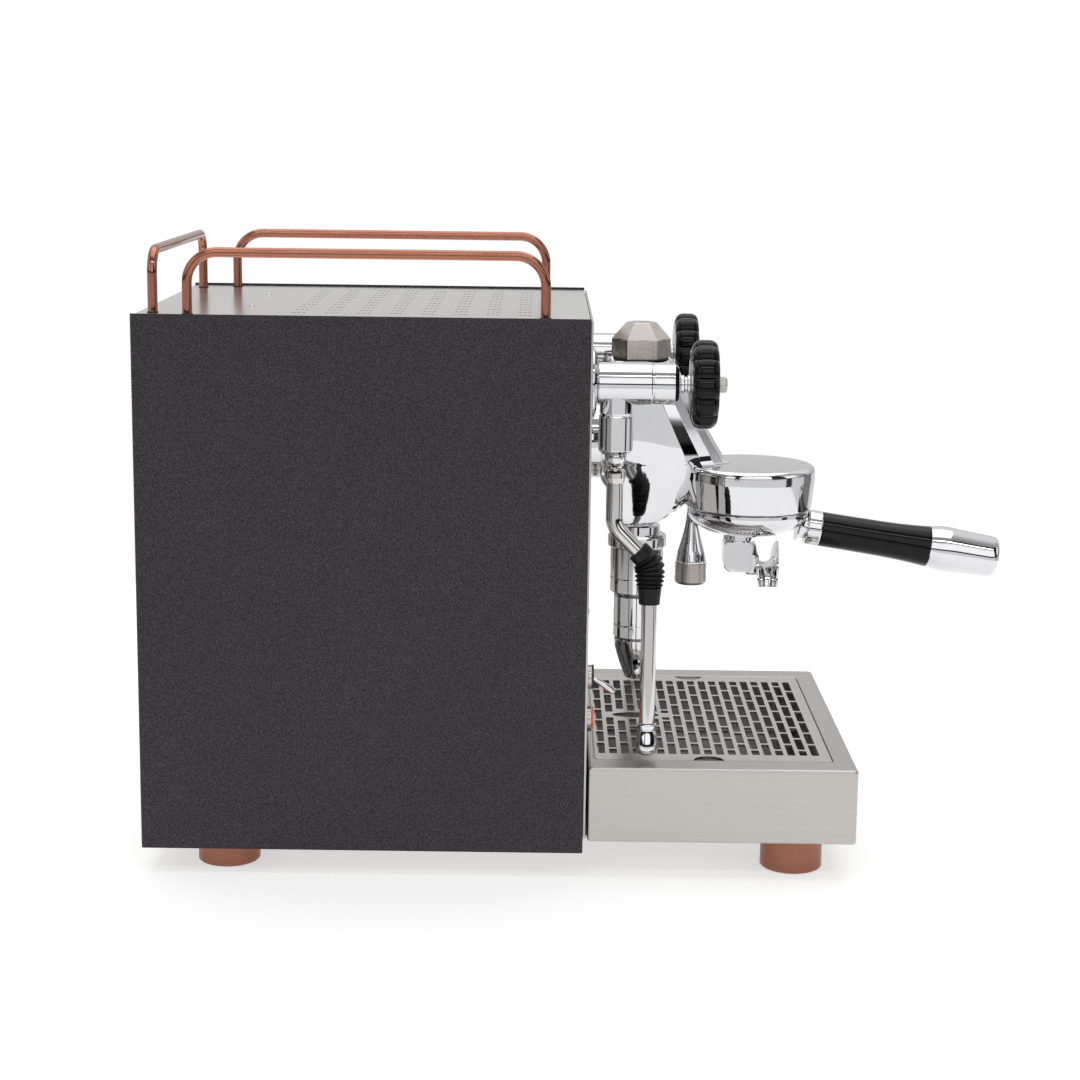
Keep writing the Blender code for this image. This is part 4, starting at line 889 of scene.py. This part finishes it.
# --------------------------------------------------- steam and hot water sides
for name, s in (("steam", -1), ("water", 1)):
    x = s * VALVE_X
    plate_piece = turned(f"{name}_rosette", soft([
        (10.0, FRONT + 0.3), (22.0, FRONT + 0.3, 0.2), (22.0, FRONT + 1.4, 0.8), (17.5, FRONT + 3.0, 2.0), (10.0, FRONT + 3.2, 0.3)], 4), (x, 0, VALVE_Z), "d", 112)
    dress(plate_piece, "chrome", "machine", f"{name}_escutcheon", slot="chrome_plate")

    v0 = span(f"{name}_valve_body")[1][0]
    valve = turned(f"{name}_valve", soft([
        (0, v0), (9.5, v0), (9.5, 279.5), (12.2, 279.7, 0.3), (13.0, 280.6, 0.7), (13.0, 312.6, 0.45), (12.5, 313.2), (12.5, 313.9),
        (12.9, 314.6, 0.4), (12.9, 327.0, 1.6), (10.6, 329.4, 1.0), (7.4, 330.0, 0.3), (7.4, 330.3), (0, 330.3)], 5, closed=False), (x, 0, VALVE_Z), "d", 112)
    branch = turned("branch", soft([(0, 262.0), (7.4, 262.0), (7.4, 271.4), (9.8, 271.4), (10.3, 272.6, 0.5), (10.3, 286.5), (0, 286.5)], 4, closed=False), (x, BALL_D, 0), "z", 72)
    socket = turned("socket", soft([
        (0, 247.0), (8.4, 247.0), (10.6, 249.6, 1.0), (10.6, 270.4, 0.8), (9.4, 271.8, 0.3), (0, 271.8)], 4, closed=False), (x, BALL_D, 0), "z", 96)
    valve = unite(valve, branch, socket)
    arcs = [math.pi * k / 20 for k in range(1, 20)]
    valve = cut(valve, turned("cup", [(0, BALL_Z - 7.1)] + [(7.1 * math.sin(a), BALL_Z - 7.1 * math.cos(a)) for a in arcs] + [(0, BALL_Z + 7.1)], (x, BALL_D, 0), "z", 72))
    dress(valve, "chrome", "machine", f"{name}_valve_body", slot="chrome_plate")

    # The knob: twelve rounded lobes, a dished face and a hub.
    k0, k1 = KNOB_D
    R = (KNOB_X[1] - KNOB_X[0]) / 2
    count = 144

    def lobed(scale, circle, mix, d):
        ring = []
        for i in range(count):
            t = 2 * math.pi * i / count
            lobe = 25.0 + (R - 25.0) * abs(math.cos(6 * t)) ** 0.55
            r = lobe * scale * (1 - mix) + circle * mix
            ring.append((x + r * math.cos(t), d, VALVE_Z + r * math.sin(t)))
        return ring

    rings = [lobed(1, 7.0, 1.0, k0 + 0.2), lobed(1, 8.4, 1.0, k0), lobed(0.80, 21.5, 0.8, k0), lobed(0.86, 22, 0.25, k0 + 0.5), lobed(0.925, 25, 0, k0 + 1.5),
             lobed(0.97, 25, 0, k0 + 2.9), lobed(0.992, 25, 0, k0 + 4.4), lobed(1.0, 25, 0, k0 + 6.0), lobed(1.0, 25, 0, k1 - 5.4), lobed(0.99, 25, 0, k1 - 3.6),
             lobed(0.96, 25, 0, k1 - 2.0), lobed(0.915, 25, 0, k1 - 0.7), lobed(0.86, 22, 0.1, k1 - 0.1), lobed(0.80, 21, 0.35, k1 - 0.0), lobed(0.75, 20, 0.8, k1 - 0.5),
             lobed(1, 17.6, 1.0, k1 - 2.2), lobed(1, 13.0, 1.0, k1 - 2.7), lobed(1, 10.6, 1.0, k1 - 1.8), lobed(1, 9.8, 1.0, k1 - 0.4), lobed(1, 9.2, 1.0, k1 - 0.05), lobed(1, 5.0, 1.0, k1 - 0.05)]
    knob = lofted(f"{name}_handwheel", rings, 50)
    knob = cut(knob, turned("bore", [(0, k0 - 3), (4.3, k0 - 3), (4.3, k1 + 3), (0, k1 + 3)], (x, 0, VALVE_Z), "d", 48))
    dress(knob, "black", f"{name}_knob", f"{name}_knob", slot="black_gloss")
    stem = turned(f"{name}_spindle", soft([
        (0, 330.6), (5.6, 330.6, 0.3), (5.6, 332.6, 0.3), (4.6, 333.2), (4.6, 334.4), (5.6, 335.0, 0.3), (5.6, 336.7, 0.3), (3.9, 336.8), (3.9, k1 + 0.1), (0, k1 + 0.1)], 3, closed=False),
        (x, 0, VALVE_Z), "d", 64)
    dress(stem, "chrome", f"{name}_knob", f"{name}_stem", slot="satin_nickel")
    nut = turned(f"{name}_knob_nut", soft([(0, k1 + 0.1), (5.3, k1 + 0.1), (5.3, 358.2, 0.5), (4.2, 359.1, 0.4), (0, 359.2)], 3, closed=False), (x, 0, VALVE_Z), "d", 6, math.radians(0), 20)
    edge = nut.modifiers.new("eased", "BEVEL")
    edge.width, edge.segments, edge.limit_method, edge.angle_limit = 0.3 * MM, 2, "ANGLE", math.radians(25)
    dress(nut, "nut", f"{name}_knob", slot="satin_nickel")

    ball = turned(f"{name}_ball_joint", [(0, BALL_Z - 6.7)] + [(6.7 * math.sin(a), BALL_Z - 6.7 * math.cos(a)) for a in arcs] + [(0, BALL_Z + 6.7)], (x, BALL_D, 0), "z", 64)
    dress(ball, "chrome", f"{name}_swivel", f"{name}_ball", slot="chrome_plate")

    bend_z, front_d, lean = 202.0, 314.2, 13.0 / 187.0

    def wand_at(d, z):
        return (x + s * lean * (BALL_Z - z), d, z)

    elbow_z = bend_z - (front_d - BALL_D)
    corners = [wand_at(BALL_D, BALL_Z - 7.1), wand_at(BALL_D, bend_z), wand_at(front_d, elbow_z), wand_at(front_d, 79.0)]
    pipe_path = rounded_path(corners, 14.0, 12)
    pipe = along(f"{name}_pipe", pipe_path, [5.2 if p.z > 186 else 4.9 for p in pipe_path], 48)
    union_z = BALL_Z - 7.0
    ferrule = along("ferrule", [wand_at(BALL_D, z) for z in (237.4, 236.6, 232.4, 231.2, 229.4, 228.6)], [5.6, 6.6, 6.8, 6.2, 5.8, 5.2], 48)
    pipe = unite(pipe, ferrule)
    dress(pipe, "chrome_bar", f"{name}_wand", f"{name}_wand", slot="polished_stainless")

    boot_corners = [wand_at(BALL_D + (bend_z - 187.0), 187.0), wand_at(front_d, elbow_z), wand_at(front_d, 153.6)]
    dense, length = resampled(rounded_path(boot_corners, 14.0, 12), 0.28)
    radii = []
    for i in range(len(dense)):
        a = length * i / (len(dense) - 1)
        if a < 6.0:                                     # plain upper collar
            r = 7.0 + 0.25 * min(1.0, a / 0.8) if a < 5.2 else 7.25
        elif a < length - 10.5:                         # the ribs
            u = (a - 6.0) / (length - 16.5)
            body = 7.3 + 1.7 * math.sin(math.pi * min(1.0, 0.18 + u * 0.82)) ** 0.7
            wave = 0.5 - 0.5 * math.cos(2 * math.pi * 7 * u)
            r = body - 1.15 + 1.75 * wave ** 0.8
        else:                                           # plain lower collar
            v = (a - (length - 10.5)) / 10.5
            r = 7.5 - 0.9 * min(1.0, v * 1.2)
        if a > length - 0.5:
            r -= 0.3
        radii.append(min(r, 9.4))
    boot = along(f"{name}_grip_boot", dense, radii, 48, inner=5.5, sharp=50)
    dress(boot, "rubber", f"{name}_wand", f"{name}_boot", slot="black_rubber")

    tip_rows = [(78.6, 5.2), (78.3, 5.7), (77.7, 6.1), (75.4, 6.1), (74.8, 5.8), (74.2, 5.7), (71.0, 6.2), (66.5, 6.95), (63.6, 7.2), (61.8, 7.05), (60.4, 6.4), (59.4, 5.3), (58.8, 3.8), (58.6, 2.0)]
    tip = along(f"{name}_nozzle", [wand_at(front_d, z) for z, _ in tip_rows], [r for _, r in tip_rows], 64)
    dress(tip, "chrome", f"{name}_wand", f"{name}_tip", slot="chrome_plate")

# -------------------------------------------------------------- front controls
tx, tz = -92.0, 105.0
collar = turned("switch_collar", soft([
    (3.4, 264.0), (5.8, 264.0), (5.8, FRONT + 0.3), (7.6, FRONT + 0.3, 0.3), (7.6, 279.2), (3.4, 279.2)], 3), (tx, 0, tz), "d", 64)
dress(collar, "nickel", "machine", "toggle_collar", slot="satin_nickel")
dress(turned("switch_ring", soft([(3.3, 279.25), (7.7, 279.25, 0.2), (7.7, 280.6, 0.4), (3.3, 280.6, 0.3)], 3), (tx, 0, tz), "d", 64), "dark", "machine", slot="dark_plastic")
slant = math.radians(34)
bat = [Vector((tx, 268.0, 105.0)), Vector((tx, 274.0, 104.9)), Vector((tx, 278.6, 104.1)), Vector((tx, 281.6, 103.0))] + [
    Vector((tx, 284.0 + t * math.cos(slant), 101.9 - t * math.sin(slant))) for t in (0.0, 4.5, 8.6, 10.6, 11.6, 12.0)]
dress(along("switch_bat", bat, [1.3, 1.3, 1.5, 1.7, 1.85, 2.15, 2.4, 2.35, 1.8, 0.9], 32), "chrome", "toggle", "toggle_lever", slot="chrome_plate")

lamp = turned("lamp_bezel", soft([
    (5.8, 262.0), (6.8, 262.0), (6.8, FRONT + 0.3), (8.7, FRONT + 0.3, 0.3), (8.7, 279.3, 0.5), (7.6, 279.9, 0.2), (5.8, 279.9)], 3), (tx, 0, 78.5), "d", 80)
dress(lamp, "nickel", "machine", "pilot_lamp", slot="satin_nickel")
lens = turned("lamp_lens", soft([(0, 270.0), (5.75, 270.0), (5.75, 279.95), (7.5, 279.95, 0.3), (7.2, 280.9, 0.6), (4.0, 281.0, 0.6), (0, 280.6)], 3, closed=False), (tx, 0, 78.5), "d", 80)
dress(lens, "amber", "machine", slot="amber_lens")
small = turned("status_lamp_body", soft([
    (0, 268.0), (2.7, 268.0), (2.7, FRONT + 0.3), (3.5, FRONT + 0.3, 0.2), (3.5, 279.0, 0.5), (2.2, 280.6, 0.8), (0, 281.1)], 4, closed=False), (62.0, 0, 112.4), "d", 48)
dress(small, "copper", "machine", "status_lamp", slot="copper_finish")

gx, gz = 62.0, 165.0
bezel = turned("gauge_bezel", soft([
    (17.9, 258.0), (18.6, 258.0), (18.6, FRONT + 0.3), (21.4, FRONT + 0.3, 0.3), (21.4, 277.8, 0.6), (19.6, 278.4, 0.3), (18.0, 278.0, 0.2)], 3), (gx, 0, gz), "d", 112)
dress(bezel, "chrome", "machine", "pressure_gauge", slot="satin_nickel")
dial = turned("gauge_dial", soft([(0, 274.6), (17.85, 274.6), (17.85, 276.0), (0, 276.0)], 2, closed=False), (gx, 0, gz), "d", 96)
dress(dial, "white", "machine", slot="satin_nickel")
ticks = []
for k in range(31):
    a = math.radians(225 - 270 * k / 30)
    long = k % 5 == 0
    r0, r1, w = (12.2 if long else 13.9), 15.6, (0.36 if long else 0.2)
    dx, dz = math.cos(a), math.sin(a)
    corners = [(gx + dx * r0 - dz * w, gz + dz * r0 + dx * w), (gx + dx * r1 - dz * w, gz + dz * r1 + dx * w),
               (gx + dx * r1 + dz * w, gz + dz * r1 - dx * w), (gx + dx * r0 + dz * w, gz + dz * r0 - dx * w)]
    ticks.append(extruded("tick", corners, "d", 275.9, 276.12))
dress(joined("gauge_ticks", *ticks), "dark", "machine", slot="black_gloss")
a = math.radians(150)
dx, dz = math.cos(a), math.sin(a)
needle = extruded("gauge_needle", [(gx - dx * 4 - dz * 0.7, gz - dz * 4 + dx * 0.7), (gx + dx * 13.2, gz + dz * 13.2), (gx - dx * 4 + dz * 0.7, gz - dz * 4 - dx * 0.7)], "d", 276.4, 276.7)
needle = unite(needle, turned("hub", soft([(0, 275.9), (1.9, 275.9), (1.9, 277.0, 0.3), (0, 277.0)], 3, closed=False), (gx, 0, gz), "d", 32))
dress(needle, "dark", "machine", slot="black_gloss")
glass = turned("gauge_glass", soft([(0, 277.3), (17.8, 277.3), (17.8, 277.9, 0.2), (0, 278.1)], 3, closed=False), (gx, 0, gz), "d", 96)
dress(glass, "glass", "machine", slot="tank_plastic")

# ------------------------------------------------------------------ drip tray
(x0, x1), (d0, d1), (z0, z1) = TRAY_X, TRAY_D, TRAY_Z


def level(ix, i0, i1, z, radius):
    """A rounded rectangle ring, inset by ix at the sides, i0 at the rear and i1 at the front."""
    return [(x, d, z) for x, d in slab((x0 + ix, x1 - ix), (d0 + i0, d1 - i1), radius, 5)]


gx0, gd0, gd1 = x1 - GRILLE_X[1] - 0.7, GRILLE_D[0] - d0 - 0.7, d1 - GRILLE_D[1] - 0.7
seat_z = GRILLE_Z[0] - 0.3
rings = [level(1.6, 1.6, 1.6, z0, 1.0)]
for k in range(1, 6):
    a = math.pi / 2 * k / 5
    rings.append(level(1.6 - 1.6 * math.sin(a), 1.6 - 1.6 * math.sin(a), 1.6 - 1.6 * math.sin(a), z0 + 1.6 - 1.6 * math.cos(a), 1.0 + 1.2 * math.sin(a)))
fold = 1.9
for k in range(7):
    a = math.pi / 2 * k / 6
    i = fold - fold * math.cos(a)
    rings.append(level(i, i, i, z1 - fold + fold * math.sin(a), 2.2))
ease = 0.7
for k in range(5):
    a = math.pi / 2 * k / 4
    g = -ease + ease * math.sin(a)
    rings.append(level(gx0 + g, gd0 + g, gd1 + g, z1 - ease + ease * math.cos(a), 3.0))
rings.append(level(gx0, gd0, gd1, seat_z, 3.0))
rings.append(level(gx0 + 4.6, gd0 + 3.4, gd1 + 3.8, seat_z, 4.0))
rings.append(level(gx0 + 4.6, gd0 + 3.4, gd1 + 3.8, seat_z - 1.2, 4.0))
rings.append(level(1.4, 1.4, 1.4, seat_z - 1.4, 2.0))
rings.append(level(1.4, 1.4, 1.4, z0 + 6.0, 2.0))
rings.append(level(2.4, 2.4, 2.4, z0 + 2.6, 2.0))
rings.append(level(5.0, 5.0, 5.0, z0 + 1.5, 3.0))
tray = lofted("drip_tray_shell", rings)
dress(tray, "brushed", "drip_tray", "drip_tray", slot="brushed_stainless")

LENS_D, LENS_HALF, LENS_DEPTH = 311.5, 15.6, 6.2


def lens_edge(d, grow=0.0):
    """Half the lens opening's width at d, or None outside it."""
    half, depth = LENS_HALF + grow * 1.1, LENS_DEPTH + grow
    u = (d - LENS_D) / half
    return None if abs(u) >= 1 else depth * math.sqrt(1 - abs(u) ** 2.2)


def brick(xa, xb, da, db, r=1.0):
    r = min(r, (xb - xa) * 0.4)
    return soft([(xa, da, r), (xb, da, r), (xb, db, r), (xa, db, r)], 3)


PITCH_D, PITCH_X, COLUMNS, SLOT = 7.54, 26.6, 19, 4.9
first_d = 286.4
slots = []
for c in range(COLUMNS):
    d = first_d + PITCH_D * c
    reach = 3.5 * PITCH_X - 1.5
    cuts = [-3.5 + k for k in range(8)] if c % 2 == 0 else [-3.5] + [-3.0 + k for k in range(7)] + [3.5]
    for a, b in zip(cuts, cuts[1:]):
        xa, xb = a * PITCH_X + 1.5, b * PITCH_X - 1.5
        keep = max((lens_edge(e, 4.2) or 0.0) for e in (d - SLOT / 2, d, d + SLOT / 2))
        pieces = [(xa, xb)]
        if keep > 0:
            pieces = [(p, q) for p, q in ((xa, min(xb, -keep)), (max(xa, keep), xb)) if q - p > 3.0]
        slots += [brick(p, q, d - SLOT / 2, d + SLOT / 2) for p, q in pieces]
lens_outline = []
for k in range(25):
    d = LENS_D - LENS_HALF * math.cos(math.pi * k / 24)
    lens_outline.append((lens_edge(d) or 0.0, d))
for k in range(23, 0, -1):
    d = LENS_D - LENS_HALF * math.cos(math.pi * k / 24)
    lens_outline.append((-(lens_edge(d) or 0.0), d))
NOTCH_D, NOTCH_R = 353.6, 9.6
(ga, gb), (ha, hb) = GRILLE_X, GRILLE_D
near = [(ga + max(0.0, (NOTCH_R * math.sin(t)) ** 1.0), NOTCH_D - NOTCH_R * math.cos(t)) for t in (math.pi * k / 20 for k in range(21))]
far = [(gb - NOTCH_R * math.sin(t), NOTCH_D + NOTCH_R * math.cos(t)) for t in (math.pi * k / 20 for k in range(21))]
corner = 2.4
outline = soft([(ga, ha, corner), (ga, ha + 8)], 4, closed=False)
outline = [(ga + corner, ha), (ga + 0.7, ha + 0.7), (ga, ha + corner)] + near + [(ga, hb - corner), (ga + 0.7, hb - 0.7), (ga + corner, hb)]
outline += [(gb - corner, hb), (gb - 0.7, hb - 0.7), (gb, hb - corner)] + far + [(gb, ha + corner), (gb - 0.7, ha + 0.7), (gb - corner, ha)]
grille = plate("grille_sheet", outline, slots + [lens_outline], GRILLE_Z[0], GRILLE_Z[1])
dress(grille, "grille", "drip_tray", "drip_grille", slot="polished_stainless")

# ---------------------------------------------------------------------- stage
bm = bmesh.new()
bmesh.ops.create_circle(bm, cap_ends=True, segments=128, radius=0.85)
floor = made("studio_floor", bm)
floor_mat, floor_tree, floor_shader = new_material("studio_floor", (0.86, 0.86, 0.86), 0.0, 0.9, specular_ior_level=0.0)
floor_tree.links.new(tint(floor_tree, noise(floor_tree, 3.0), (0.665, 0.665, 0.666), (0.675, 0.675, 0.675)), floor_shader.inputs["Base Color"])
floor_shader.inputs["Emission Color"].default_value = (1.0, 1.0, 1.0, 1.0)
floor_shader.inputs["Emission Strength"].default_value = 0.50
floor.data.materials.append(floor_mat)

world = bpy.data.worlds.new("studio")
bpy.context.scene.world = world
world.use_nodes = True
tree = world.node_tree
background = tree.nodes["Background"]
where = node(tree, "ShaderNodeTexCoord")
split = node(tree, "ShaderNodeSeparateXYZ")
tree.links.new(where.outputs["Generated"], split.inputs["Vector"])


def bands(value, stops):
    """A grey ramp of (position, brightness) stops over 0 to 1."""
    made_ramp = node(tree, "ShaderNodeValToRGB")
    elements = made_ramp.color_ramp.elements
    elements[0].position, elements[0].color = stops[0][0], (*([stops[0][1]] * 3), 1)
    elements[1].position, elements[1].color = stops[-1][0], (*([stops[-1][1]] * 3), 1)
    for position, brightness in stops[1:-1]:
        elements.new(position).color = (brightness, brightness, brightness, 1)
    tree.links.new(value, made_ramp.inputs["Fac"])
    return made_ramp.outputs["Color"]


def elevation(degrees):
    return 0.5 + 0.5 * math.sin(math.radians(degrees))


up = spread(tree, split.outputs["Z"], 0.0, 1.0, -1.0, 1.0)
toward = spread(tree, split.outputs["X"], 0.0, 1.0, -0.25, 0.25)
near_side = bands(up, [(0.0, 0.84), (elevation(-1.5), 0.84), (elevation(-0.5), 0.02), (elevation(5.0), 0.02), (elevation(7.0), 1.30),
                       (elevation(33), 1.30), (elevation(40), 0.33), (1.0, 0.38)])
far_side = bands(up, [(0.0, 0.80), (elevation(-1.0), 0.80), (elevation(0.0), 0.10), (elevation(2.0), 0.10), (elevation(3.5), 0.66),
                      (elevation(18), 0.66), (elevation(26), 0.90), (elevation(70), 0.90), (elevation(80), 0.38), (1.0, 0.38)])
wall = mixed_colour(tree, toward, near_side, far_side)
azimuth = math_node(tree, "ARCTAN2", split.outputs["Y"], split.outputs["X"])
turn = spread(tree, azimuth, 0.0, 1.0, -math.pi, math.pi)
flag = [(0.0, 1.0)]
for centre, half, brightness in ((0.139, 0.036, 0.03), (0.275, 0.022, 0.55), (0.309, 0.005, 0.03), (0.80, 0.018, 0.2), (0.930, 0.010, 0.04)):
    flag += [(centre - half - 0.005, 1.0), (centre - half, brightness), (centre + half, brightness), (centre + half + 0.005, 1.0)]
strips = bands(turn, flag + [(1.0, 1.0)])
low = bands(up, [(0.0, 1.0), (elevation(-3), 1.0), (elevation(0), 0.0), (elevation(48), 0.0), (elevation(56), 1.0), (1.0, 1.0)])
strips = mixed_colour(tree, 1.0, strips, low, "LIGHTEN")
floor_side = bands(turn, [(0.0, 1.0), (0.170, 1.0), (0.178, 0.06), (0.205, 0.06), (0.213, 1.0), (0.285, 0.95), (0.30, 0.30), (0.36, 0.30), (0.38, 1.0), (1.0, 1.0)])
below = bands(up, [(0.0, 0.0), (elevation(-30), 0.0), (elevation(-24), 1.0), (elevation(0.0), 1.0), (elevation(0.5), 0.0), (1.0, 0.0)])
floor_side = mixed_colour(tree, below, (1.0, 1.0, 1.0), floor_side)
shade = mixed_colour(tree, 1.0, mixed_colour(tree, 1.0, wall, strips, "MULTIPLY"), floor_side, "MULTIPLY")
path_node = node(tree, "ShaderNodeLightPath")
seen = mixed_colour(tree, path_node.outputs["Is Camera Ray"], shade, (1.0, 1.0, 1.0))
tree.links.new(seen, background.inputs["Color"])
background.inputs["Strength"].default_value = 1.0


def softbox(name, place, target, size, power):
    light = bpy.data.lights.new(name, "AREA")
    light.shape = "RECTANGLE"
    light.size, light.size_y = size
    light.energy = power
    lamp_object = bpy.data.objects.new(name, light)
    bpy.context.scene.collection.objects.link(lamp_object)
    lamp_object.location = place
    lamp_object.rotation_euler = (Vector(target) - Vector(place)).to_track_quat("-Z", "Y").to_euler()


softbox("overhead", (0.3, 0.0, 2.4), (0.0, 0.0, 0.0), (2.4, 2.4), 24.0)
softbox("strip_high", (-1.5, -0.1, 1.9), (0.0, -0.1, 0.2), (2.6, 0.10), 7.0)
bpy.context.scene.view_settings.view_transform = "Standard"
bpy.context.scene.view_settings.look = "None"

bpy.context.view_layer.update()
